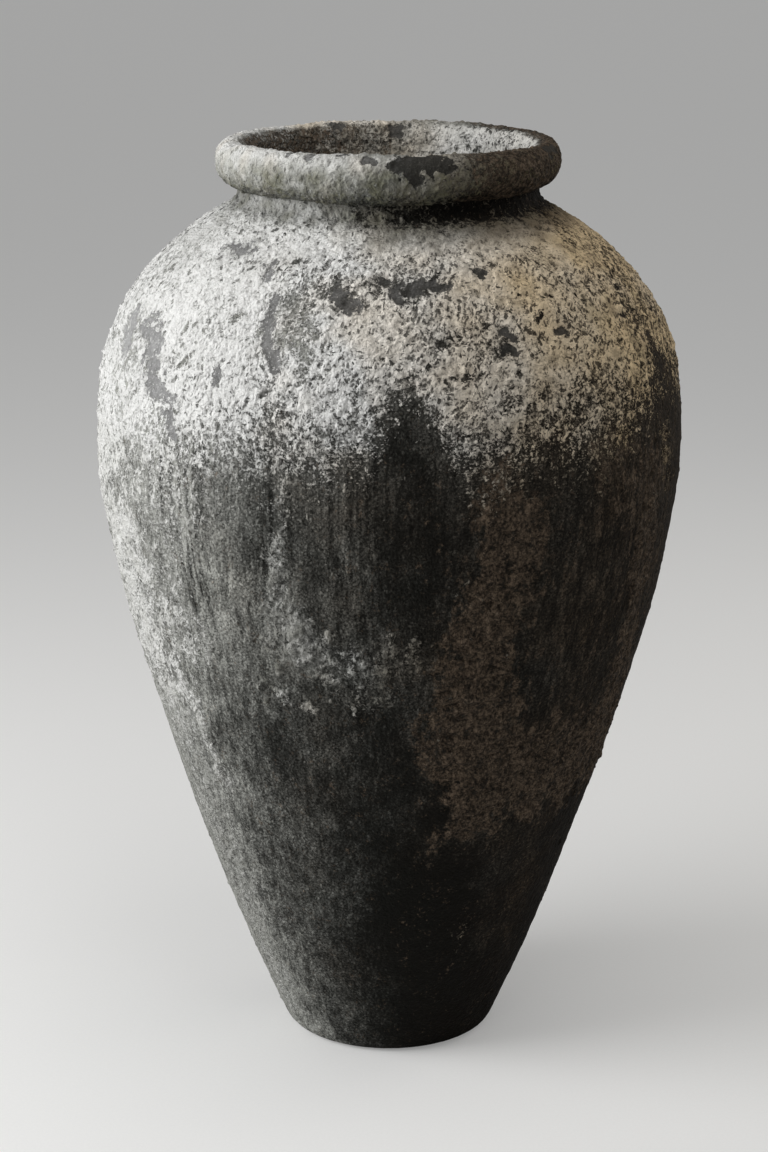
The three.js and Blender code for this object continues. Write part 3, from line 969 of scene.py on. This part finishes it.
def make_corner_coil(heights):
    """The coil pressed into the corner inside, wiped hollow with a finger."""
    low = heights[0]
    high = low + COIL_LEG
    rows = []
    for height in np.linspace(low, high, COIL_BACK_ROWS):
        rows.append(plain_row("seat", inner_radius(height) - LUTE_GAP, height))
    lip = inner_radius(high) - LUTE_GAP - COIL_LIP
    toe = inner_radius(low) - LUTE_GAP - COIL_LEG
    a = np.radians(bearings(INNER_COLUMNS))
    for t in np.radians(np.linspace(0, 90, COIL_FACE_ROWS)):
        dab = 0.5 * np.sin(23 * a + 2 * np.sin(3 * a)) + 0.3 * np.sin(41 * a)
        give = dab * MM * math.sin(2 * t)
        radius = toe + (lip - toe - give) * math.cos(t)
        height = high - (high - low - give) * math.sin(t)
        rows.append(Row("inner", turn(radius, height, bearings(INNER_COLUMNS))))
    return clay_piece("base_corner_coil_wiped", rows)


def make_ring(piece_name, skin, first, last, low, high):
    """One lift of the wall: skin up the outside, grooved seat, inside, tongued seat."""
    rows = skin_rows(skin, first, last) + groove_rows(high) + inner_rows(low, high) + tongue_rows(low)
    return clay_piece(piece_name, rows)


def make_rim_roll(skin):
    rows = skin_rows(skin, 0, len(skin.along) - 1) + tongue_rows(CREASE)
    return clay_piece("rim_roll_turned_out", rows)


# Finishes

def tint(red, green, blue):
    """A colour as painters' charts give it, 0 to 255, in the renderer's own scale."""
    scaled = [c / 255 for c in (red, green, blue)]
    return tuple(c / 12.92 if c <= 0.04045 else ((c + 0.055) / 1.055) ** 2.4 for c in scaled) + (1,)


# Colours of the weathered jar. The tan and warm ones serve partly for tan stain and partly for painted warm
# bounce light; the ones for grime and for thin lime serve partly for painted shade
DARK_GROUND = tint(22, 22, 19)
DARK_WARM = tint(23, 19, 15)
PALE_GROUND = tint(176, 177, 171)
PALE_WARM = tint(152, 132, 108)
WHITE_LIME = tint(234, 234, 232)
TAN_LIME = tint(236, 212, 172)
GRIME_AND_SHADE_LIME = tint(126, 126, 121)
GRIME_AND_SHADE_TAN = tint(124, 110, 90)
THIN_AND_SHADED_LIME = tint(118, 118, 114)
THIN_AND_SHADED_TAN = tint(112, 99, 80)
BROWN_SCUM = tint(128, 111, 94)
BROWN_DEEP = tint(44, 38, 32)
MOSS_TINT = tint(104, 104, 70)
BARE_GREY = tint(172, 172, 172)
BARE_WARM = tint(140, 128, 110)
CHARRED = tint(42, 41, 38)
INSIDE_GREY = tint(126, 122, 113)
INSIDE_BROWN = tint(92, 80, 66)
BLACK = (0, 0, 0, 1)
WHITE = (1, 1, 1, 1)


class Wire:
    """A value in a node tree. A sum written with it lays the nodes of that sum."""

    def __init__(self, board, socket):
        self.board = board
        self.socket = socket

    def __add__(self, other):
        return self.board.math("ADD", self, other)

    def __radd__(self, other):
        return self.board.math("ADD", other, self)

    def __sub__(self, other):
        return self.board.math("SUBTRACT", self, other)

    def __rsub__(self, other):
        return self.board.math("SUBTRACT", other, self)

    def __mul__(self, other):
        return self.board.math("MULTIPLY", self, other)

    def __truediv__(self, other):
        return self.board.math("DIVIDE", self, other)

    def ease(self, low, high, bottom=0.0, top=1.0):
        """Runs softly from bottom, where this is low, to top, where it is high."""
        values = (self, low, high, bottom, top)
        return self.board.run("ShaderNodeMapRange", values, "Result", interpolation_type="SMOOTHSTEP")


class Board:
    """Lays out the nodes of a material or a group."""

    # Sockets of the colour mix: share, first colour, second colour, and the result
    MIX_INPUTS = (0, 6, 7)
    MIX_RESULT = 2

    def __init__(self, tree):
        self.tree = tree

    def node(self, kind, **settings):
        made = self.tree.nodes.new(kind)
        for key, value in settings.items():
            setattr(made, key, value)
        return made

    def wires(self, sockets):
        return {socket.name: Wire(self, socket) for socket in sockets}

    def plug(self, value, socket):
        if isinstance(value, Wire):
            self.tree.links.new(value.socket, socket)
        else:
            socket.default_value = value

    def run(self, kind, values, output=0, **settings):
        """A node with its first inputs filled in order, and one of its outputs."""
        made = self.node(kind, **settings)
        for value, socket in zip(values, made.inputs):
            self.plug(value, socket)
        return Wire(self, made.outputs[output])

    def math(self, operation, *values):
        return self.run("ShaderNodeMath", values, operation=operation)

    def vector(self, operation, *values):
        output = "Value" if operation == "DOT_PRODUCT" else "Vector"
        return self.run("ShaderNodeVectorMath", values, output, operation=operation)

    def most(self, first, second):
        return self.math("MAXIMUM", first, second)

    def blend(self, share, first, second, way="MIX"):
        """A colour between two others."""
        made = self.node("ShaderNodeMix", data_type="RGBA", blend_type=way)
        for value, k in zip((share, first, second), self.MIX_INPUTS):
            self.plug(value, made.inputs[k])
        return Wire(self, made.outputs[self.MIX_RESULT])

    def cloud(self, place, scale, detail=3.0, rough=0.55, twist=0.0):
        """Noise of about unit spread round 0."""
        made = self.node("ShaderNodeTexNoise", noise_dimensions="3D")
        settings = {"Vector": place, "Scale": scale, "Detail": detail, "Roughness": rough,
                    "Distortion": twist}
        for key, value in settings.items():
            self.plug(value, made.inputs[key])
        return (Wire(self, made.outputs["Fac"]) - 0.5) * 8.0

    def cells(self, place, scale):
        made = self.node("ShaderNodeTexVoronoi", feature="F1")
        self.plug(place, made.inputs["Vector"])
        self.plug(scale, made.inputs["Scale"])
        return self.wires(made.outputs)

    def mark(self, name):
        made = self.node("ShaderNodeAttribute", attribute_type="GEOMETRY", attribute_name=name)
        return Wire(self, made.outputs["Fac"])

    def place(self):
        return Wire(self, self.node("ShaderNodeTexCoord").outputs["Object"])

    def group(self, name, **values):
        """One of the shared node groups with its inputs plugged in."""
        made = self.node("ShaderNodeGroup")
        made.node_tree = bpy.data.node_groups[name]
        for key, value in values.items():
            self.plug(value, made.inputs[key])
        return self.wires(made.outputs)

    def put_out(self, **values):
        for key, value in values.items():
            self.plug(value, self.outlets[key])

    def bump(self, height, shader):
        made = self.node("ShaderNodeBump")
        made.inputs["Distance"].default_value = MM
        self.plug(height, made.inputs["Height"])
        self.tree.links.new(made.outputs["Normal"], shader.inputs["Normal"])


def new_group(name, inputs, outputs):
    """An empty node group. An input given as None is a place, as four numbers a colour, else a value."""
    tree = bpy.data.node_groups.new(name, "ShaderNodeTree")
    kinds = {type(None): "NodeSocketVector", tuple: "NodeSocketColor", float: "NodeSocketFloat"}
    for label, value in inputs.items():
        socket = tree.interface.new_socket(name=label, in_out="INPUT", socket_type=kinds[type(value)])
        if value is not None:
            socket.default_value = value
    for label in outputs:
        kind = "NodeSocketColor" if label == "Colour" else "NodeSocketFloat"
        tree.interface.new_socket(name=label, in_out="OUTPUT", socket_type=kind)
    board = Board(tree)
    board.given = board.wires(board.node("NodeGroupInput").outputs)
    board.outlets = board.node("NodeGroupOutput").inputs
    return board


def new_finish(name):
    material = bpy.data.materials.new(name)
    material.use_nodes = True
    return material, Board(material.node_tree), material.node_tree.nodes["Principled BSDF"]


def make_straws_group():
    """Short straw-like marks that lie on the surface, one to a cell, each with its own lean."""
    inputs = {"Place": None, "Slope": 1.57, "Density": 0.5, "Scale": 120.0, "Long": 0.46, "Wide": 0.17,
              "Lean": 0.0, "Scatter": 2.0, "Ragged": 0.0}
    board = new_group("straws", inputs, ("Straw", "Ridge"))
    given = board.given
    place = given["Place"]
    cell = board.cells(place, given["Scale"])
    local = board.vector("SUBTRACT", place, cell["Position"])
    chance = board.node("ShaderNodeSeparateColor")
    board.plug(cell["Color"], chance.inputs[0])
    lean_luck, size_luck, stay_luck = board.wires(chance.outputs).values()
    radial = board.vector("NORMALIZE", board.vector("MULTIPLY", place, (1, 1, 0)))
    east = board.vector("CROSS_PRODUCT", (0, 0, 1), radial)
    flat = board.vector("DOT_PRODUCT", local, radial)
    upright = board.vector("DOT_PRODUCT", local, (0, 0, 1))
    side = board.vector("DOT_PRODUCT", local, east)
    slope = given["Slope"]
    up = flat * board.math("COSINE", slope) + upright * board.math("SINE", slope)
    angle = given["Lean"] + (lean_luck - 0.5) * given["Scatter"]
    cos = board.math("COSINE", angle)
    sin = board.math("SINE", angle)
    grow = given["Scale"] * (0.55 + size_luck * size_luck * 2.4)
    far = (up * cos + side * sin) * grow / given["Long"]
    off = (side * cos - up * sin) * grow / given["Wide"]
    gap = board.math("SQRT", far * far + off * off)
    inside = 1.0 + given["Ragged"] * 0.18 - gap
    kept = (given["Density"] - stay_luck).ease(0.0, 0.12)
    board.put_out(Straw=inside.ease(0.0, 0.3) * kept, Ridge=inside.ease(0.0, 0.9) * kept)


# Straws of lime, and the strokes, gashes and pricks where it is missing: shift of the pattern, density,
# cells to a metre, length and width as shares of a cell, lean and scatter in radians
STRAWS = {
    "big": ((0, 0, 0), 0.9, 200.0, 0.54, 0.18, 0.0, 2.6),
    "small": ((3.1, 1.7, 0.3), 1.0, 330.0, 0.54, 0.24, 0.0, 3.2),
    "strokes": ((0, 0, 0), 0.75, 92.0, 0.40, 0.15, 0.35, 1.8),
    "gashes": ((2.3, 0.7, 5.1), 0.5, 52.0, 0.25, 0.11, 0.35, 1.6),
    "pricks": ((1.3, 4.1, 2.2), 1.0, 185.0, 0.52, 0.21, 0.0, 2.4),
}


def make_lime_crust_group():
    """Lime scum: a broken sheet, straws of it beyond its edge, and dark strokes where it is missing."""
    inputs = {"Place": None, "Slope": 1.57, "Coverage": 0.0, "Share": 0.5, "Gaps": 0.3, "Run": 0.0}
    board = new_group("lime_crust", inputs, ("Cover", "Hollow", "Height", "Grain", "Flakes", "Flecks"))
    place = board.given["Place"]
    share = board.given["Share"]
    coverage = board.given["Coverage"]
    lumps = board.cloud(place, 112, 2.0, 0.55, 0.5)
    flakes = board.cloud(place, 300, 3.0, 0.62, 0.5)
    grain = board.cloud(place, 620, 2.0, 0.7)
    ragged = board.cloud(place, 560, 0.0, 0.6)
    broad = board.cloud(place, 17, 2.0, 0.5)
    bristle = board.cloud(board.vector("MULTIPLY", place, (1, 1, 0.3)), 330, 2.0, 0.6, 0.4)
    curls = board.cloud(board.vector("MULTIPLY", place, (1, 1, 0.75)), 195, 2.0, 0.55, 1.0)

    def straws(kind, amount, calm):
        shift, density, scale, long, wide, lean, scatter = STRAWS[kind]
        return board.group("straws", Place=board.vector("ADD", place, shift), Slope=board.given["Slope"],
                           Density=amount * density, Scale=scale, Long=long, Wide=wide,
                           Lean=broad * 0.8 + lean, Scatter=calm * scatter, Ragged=ragged)

    flock = (broad + lumps * 0.4).ease(1.3, -1.3)
    lack = board.given["Gaps"] * (0.4 + flock * 1.4)
    settled = 1.0 - board.given["Run"] * 0.9
    big = straws("big", share, 1.0)
    small = straws("small", share, 1.0)
    strokes = straws("strokes", lack, settled)
    gashes = straws("gashes", lack, settled)
    pricks = straws("pricks", lack, settled)

    sheet = (coverage - 0.12 + flakes * 0.72 + lumps * 0.44).ease(-0.20, 0.24)
    threads = board.math("ABSOLUTE", curls).ease(share * 0.46, 0.0)
    threads = threads * (share + lumps * 0.15).ease(0.10, 0.45)
    scattered = board.most(big["Straw"], small["Straw"] * 0.8)
    whole = board.most(sheet, board.most(scattered, threads * 0.85))
    within = share.ease(0.35, 0.6)
    broken = board.most(gashes["Straw"], strokes["Straw"] * 0.9)
    missing = board.most(broken, pricks["Straw"] * 0.8) * within
    cover = whole * (1.0 - missing)

    ridges = big["Ridge"] * 0.6 + small["Ridge"] * 0.4 + threads * 0.4
    sunk = (strokes["Ridge"] + pricks["Ridge"] * 0.6) * within
    coarse = board.cloud(place, 118, 1.0, 0.5) * 0.70
    fine = board.cloud(place, 300, 1.0, 0.5) * 0.30 + grain * 0.11
    rough = (coarse + fine) * (0.4 + cover * 0.6)
    height = cover * 0.5 + rough + ridges * 0.6 + bristle * cover * 0.12 - sunk
    # Hollow is high in the low places of the crust's pattern, where the finish paints the lime darker: partly
    # thin lime, partly painted shade of the relief.
    level = lumps * 0.42 + flakes * 0.30 + bristle * 0.42 + ridges * 0.5
    level = level + grain * 0.16 + coverage * 0.45 - 0.1
    board.put_out(Cover=cover, Hollow=level.ease(0.75, -0.75), Height=height, Grain=grain, Flakes=flakes,
                  Flecks=small["Straw"] * flakes.ease(0.0, 1.0))


def make_fired_ground_group():
    """Dark fired clay under dust: pale straws and specks, runs of rainwater and small pits."""
    inputs = {"Place": None, "Slope": 1.57, "Tone": 0.3, "Run": 0.0, "Dark": DARK_GROUND, "Pale": PALE_GROUND}
    board = new_group("fired_ground", inputs, ("Colour", "Height"))
    place = board.given["Place"]
    given_tone = board.given["Tone"]
    mottle = board.cloud(place, 48, 4.0, 0.62)
    dust = board.cloud(place, 330, 2.0, 0.75)
    sand = board.cloud(place, 310, 0.0, 0.5)
    runs = board.cloud(board.vector("MULTIPLY", place, (1, 1, 0.035)), 190, 2.0, 0.6)
    pit = board.cells(place, 230)["Distance"].ease(0.14, 0.30)
    straw = board.group("straws", Place=board.vector("ADD", place, (0.7, 5.3, 2.9)),
                        Slope=board.given["Slope"], Density=0.22 + given_tone, Scale=240.0, Long=0.55,
                        Wide=0.26, Lean=mottle * 0.3, Scatter=1.6)
    tone = given_tone + mottle * (0.004 + given_tone * 0.05) + dust * (0.035 + given_tone * 0.24)
    tone = tone + runs * board.given["Run"] * (0.03 + given_tone * 0.28)
    tone = tone + straw["Straw"] * (0.06 + given_tone * 0.32)
    colour = board.blend(tone.ease(0.0, 1.0), board.given["Dark"], board.given["Pale"])
    shade = board.blend(0.55 + pit * 0.45, BLACK, WHITE)
    board.put_out(Colour=board.blend(1.0, colour, shade, "MULTIPLY"),
                  Height=pit * 0.35 + sand * 0.16 + mottle * 0.30 + straw["Ridge"] * 0.15)


def make_grit_group():
    """Grains of scum that stand up in small mounds."""
    board = new_group("grit", {"Place": None, "Amount": 0.5}, ("Grains", "Height"))
    place = board.given["Place"]
    wobble = board.node("ShaderNodeTexNoise", noise_dimensions="3D")
    board.plug(place, wobble.inputs["Vector"])
    wobble.inputs["Scale"].default_value = 120
    shifted = board.vector("MULTIPLY_ADD", Wire(board, wobble.outputs["Color"]), (0.006, 0.006, 0.006), place)
    patchy = board.cloud(place, 70, 3.0, 0.6).ease(-0.6, 0.9)
    mounds = board.cells(shifted, 130)["Distance"].ease(0.52, 0.12) * patchy
    specks = board.cells(shifted, 300)["Distance"].ease(0.5, 0.1)
    grains = (mounds * 0.7 + specks * 0.45) * board.given["Amount"]
    board.put_out(Grains=grains, Height=grains * 0.8)


def weathered_material(name):
    """Dark clay with scum, lime crust, flaked places and dust, each where the marks on the skin have it, and
    the painted shade and warm bounce light that some marks carry.
    """
    material, board, shader = new_finish(name)
    place = board.place()
    mark = {k: board.mark(k) for k in MARKS}
    warm = mark["warm"]
    ghost = mark["ghost"]

    # Blends a grey colour towards a tan one by the tan stain and the painted warm bounce light.
    def by_warmth(grey, tan):
        return board.blend(warm, grey, tan)

    ground = board.group("fired_ground", Place=place, Slope=mark["slope"], Tone=mark["tone"],
                         Run=mark["streak"], Dark=by_warmth(DARK_GROUND, DARK_WARM),
                         Pale=by_warmth(PALE_GROUND, PALE_WARM))
    grit = board.group("grit", Place=place, Amount=mark["grit"])
    crust = board.group("lime_crust", Place=place, Slope=mark["slope"], Coverage=mark["crust"],
                        Share=mark["share"], Gaps=mark["gaps"], Run=mark["streak"])

    # Brown scum over the ground
    mottle = board.cloud(board.vector("MULTIPLY", place, (1, 1, 0.7)), 75, 3.0, 0.60)
    speckle = board.cloud(place, 230, 2.0, 0.65)
    scum_share = (mark["brown"] + mottle * 0.16 + speckle * 0.20).ease(0.15, 0.95)
    scum_level = grit["Grains"] * 0.7 + mottle * 0.16 + speckle * 0.26 + crust["Grain"] * 0.10 - 0.05
    scum = board.blend(scum_level.ease(-0.45, 0.85), BROWN_DEEP, BROWN_SCUM)
    colour = board.blend(scum_share * 0.9, ground["Colour"], scum)
    dusting = grit["Grains"].ease(0.22, 0.6) * mark["tone"].ease(0.05, 0.7) * 0.55
    colour = board.blend(dusting, colour, PALE_GROUND)

    # Dry clay inside the jar
    drift = board.cloud(place, 22, 5.0, 0.6).ease(-0.8, 0.8)
    colour = board.blend(mark["inside"], colour, board.blend(drift, INSIDE_BROWN, INSIDE_GREY))

    # The lime's colour: white, or tan where it is stained and where warm bounce light is painted; grey with
    # grime and with painted shade; green under the rim; stained; and darker where it is thin and in the
    # hollows of its pattern, partly painted shade
    lime = by_warmth(WHITE_LIME, TAN_LIME)
    dirt_and_shade = mark["grime"] + crust["Grain"] * 0.05 + mottle * 0.05
    lime = board.blend(dirt_and_shade.ease(0.0, 1.0), lime, by_warmth(GRIME_AND_SHADE_LIME, GRIME_AND_SHADE_TAN))
    film = board.cloud(place, 40, 4.0, 0.6).ease(-1.4, 1.2, 0.3, 0.85)
    lime = board.blend(mark["moss"] * film, lime, MOSS_TINT)
    stain = board.cloud(place, 34, 4.0, 0.65).ease(0.1, 1.5, 0.0, 0.6)
    lime = board.blend(stain * warm, lime, GRIME_AND_SHADE_TAN)
    # Darker lime in the hollows: partly thin lime, partly painted shade.
    thin_and_hollow_shade = crust["Hollow"] * warm.ease(0.0, 0.5, 0.65, 0.85)
    lime = board.blend(thin_and_hollow_shade, lime, by_warmth(THIN_AND_SHADED_LIME, THIN_AND_SHADED_TAN))

    # Where it lies, and the smooth clay where it has flaked off
    flaked = (mark["bare"] + crust["Flakes"] * 0.42).ease(-0.15, 0.22)
    unflaked = 1.0 - flaked
    # In the hollows of grimy places the crust gives way to the dark ground: painted shade of the relief, with
    # grime.
    left_by_hollow_shade_and_grime = 1.0 - crust["Hollow"] * mark["grime"] * 0.8
    stuck = flaked * crust["Flecks"] * ghost.ease(0.14, 0.4, 0.1, 0.7)
    cover = board.most(crust["Cover"] * unflaked * left_by_hollow_shade_and_grime, stuck)
    scoured = (speckle * 0.09 + mottle * 0.06 + crust["Grain"] * 0.08) * ghost.ease(0.0, 0.4, 0.3, 1.0)
    smooth_clay = board.blend(ghost + scoured, CHARRED, by_warmth(BARE_GREY, BARE_WARM))
    colour = board.blend(flaked * 0.94, colour, smooth_clay)
    board.plug(board.blend(cover, colour, lime), shader.inputs["Base Color"])
    board.plug(0.80 + cover * 0.14 - flaked * 0.10, shader.inputs["Roughness"])
    shader.inputs["Specular IOR Level"].default_value = 0.1

    rubble = board.cloud(place, 105, 2.0, 0.6) * scum_share * 1.5
    relief = crust["Height"] + ground["Height"] + grit["Height"] + rubble
    board.bump(relief * (0.2 + unflaked * 0.8), shader)
    return material


def wiped_clay_material(name):
    """Clay that the weather doesn't reach, wiped smooth with a wet finger."""
    material, board, shader = new_finish(name)
    place = board.place()
    ground = board.group("fired_ground", Place=place, Tone=0.55, Run=0.0, Dark=BROWN_DEEP, Pale=INSIDE_GREY)
    grit = board.group("grit", Place=place, Amount=0.35)
    colour = board.blend(grit["Grains"].ease(0.1, 0.4) * 0.4, ground["Colour"], INSIDE_GREY)
    board.plug(colour, shader.inputs["Base Color"])
    board.plug(0.86 + grit["Grains"] * 0.1, shader.inputs["Roughness"])
    shader.inputs["Specular IOR Level"].default_value = 0.22
    board.bump(ground["Height"] + grit["Height"], shader)
    return material


# Floor, lamps and camera
FLOOR_COLOUR = tint(216, 216, 215)
FLOOR_SHADE = tuple(0.97 * c for c in FLOOR_COLOUR[:3]) + (1,)
FLOOR_LIFT = 0.34
FLOOR_RADIUS = 40.0
FLOOR_SIDES = 96
BACKGROUND = tint(200, 200, 199)
WORLD_FILL = 0.20
AIM = np.array([0, 0, 0.65])
# Bearing, distance, height, size, level and colour. At level 1 a colour that faces the lamp shows as written
LAMPS = {
    "window_side_softbox": (-73, 3.0, 1.9, 2.2, 0.93, (1.0, 1.0, 1.0)),
    "far_side_card": (125, 3.0, 1.6, 1.6, 0.12, (1.0, 0.95, 0.88)),
    "overhead_card": (30, 1.0, 3.3, 2.2, 0.30, (1.0, 0.98, 0.95)),
}
CAMERA_SPOT = (-0.0066, -3.479, 1.587)
CAMERA_PITCH = 15.493
LENS = 85
FRAME_WIDTH = 36


def make_floor():
    mesh = bpy.data.meshes.new("studio_floor")
    corners = np.radians(bearings(FLOOR_SIDES))
    points = [(FLOOR_RADIUS * math.cos(t), FLOOR_RADIUS * math.sin(t), 0) for t in corners]
    mesh.from_pydata(points, [], [list(range(FLOOR_SIDES))])
    floor = put_in_scene("studio_floor", mesh)
    material, board, shader = new_finish("pale_studio_floor")
    grain = board.cloud(board.place(), 260, 2.0, 0.55).ease(-2.0, 2.0)
    board.plug(board.blend(grain, FLOOR_COLOUR, FLOOR_SHADE), shader.inputs["Base Color"])
    shader.inputs["Roughness"].default_value = 0.75
    shader.inputs["Specular IOR Level"].default_value = 0.2
    seen = board.wires(board.node("ShaderNodeLightPath").outputs)["Is Camera Ray"]
    shader.inputs["Emission Color"].default_value = FLOOR_COLOUR
    board.plug(seen * FLOOR_LIFT, shader.inputs["Emission Strength"])
    mesh.materials.append(material)


def make_lamp(name, degrees, distance, height, size, level, colour):
    """A soft box aimed at the jar."""
    data = bpy.data.lights.new(name, "AREA")
    data.shape = "SQUARE"
    data.size = size
    data.color = colour
    lamp = put_in_scene(name, data)
    spot = turn(distance, height, degrees)
    gap = AIM - spot
    data.energy = level * math.pi ** 2 * float(gap @ gap)
    lamp.location = spot.tolist()
    pitch = math.atan2(-gap[2], math.hypot(gap[0], gap[1]))
    lamp.rotation_euler = (math.pi / 2 - pitch, 0, math.atan2(gap[1], gap[0]) - math.pi / 2)


def make_world():
    world = bpy.data.worlds.new("studio")
    world.use_nodes = True
    bpy.context.scene.world = world
    board = Board(world.node_tree)
    back = world.node_tree.nodes["Background"]
    path = board.wires(board.node("ShaderNodeLightPath").outputs)
    seen = board.most(path["Is Camera Ray"], path["Is Transmission Ray"])
    board.plug(board.blend(seen, WHITE, BACKGROUND), back.inputs["Color"])
    board.plug(WORLD_FILL + seen * (1 - WORLD_FILL), back.inputs["Strength"])


def make_camera():
    data = bpy.data.cameras.new("camera")
    data.sensor_fit = "AUTO"
    data.sensor_width = FRAME_WIDTH
    data.lens = LENS
    camera = put_in_scene("camera", data)
    camera.location = CAMERA_SPOT
    camera.rotation_euler = (math.radians(90 - CAMERA_PITCH), 0, 0)
    bpy.context.scene.camera = camera
    bpy.context.scene.view_settings.view_transform = "Standard"


make_camera()
for lamp_name, values in LAMPS.items():
    make_lamp(lamp_name, *values)
make_world()
make_floor()
make_straws_group()
make_lime_crust_group()
make_fired_ground_group()
make_grit_group()
skin_finish = weathered_material("weathered_lime_over_dark_clay")
rim_finish = weathered_material("weathered_rim_clay")
coil_finish = wiped_clay_material("wiped_coil_clay")

heights = seams()
skin, cuts = body_skin(heights)
roll = roll_skin()


def place_piece(piece, node, finish):
    piece.data.materials.append(finish)
    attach(piece, "root")
    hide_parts(node)


place_piece(make_base_slab(skin, cuts, heights), "base_slab", skin_finish)
place_piece(make_corner_coil(heights), "base_corner_coil", coil_finish)
for k, node in enumerate(BODY_RINGS):
    ring = make_ring(node + "_weathered", skin, cuts[k], cuts[k + 1], heights[k], heights[k + 1])
    place_piece(ring, node, skin_finish)
place_piece(make_rim_roll(roll), "rim_roll", rim_finish)
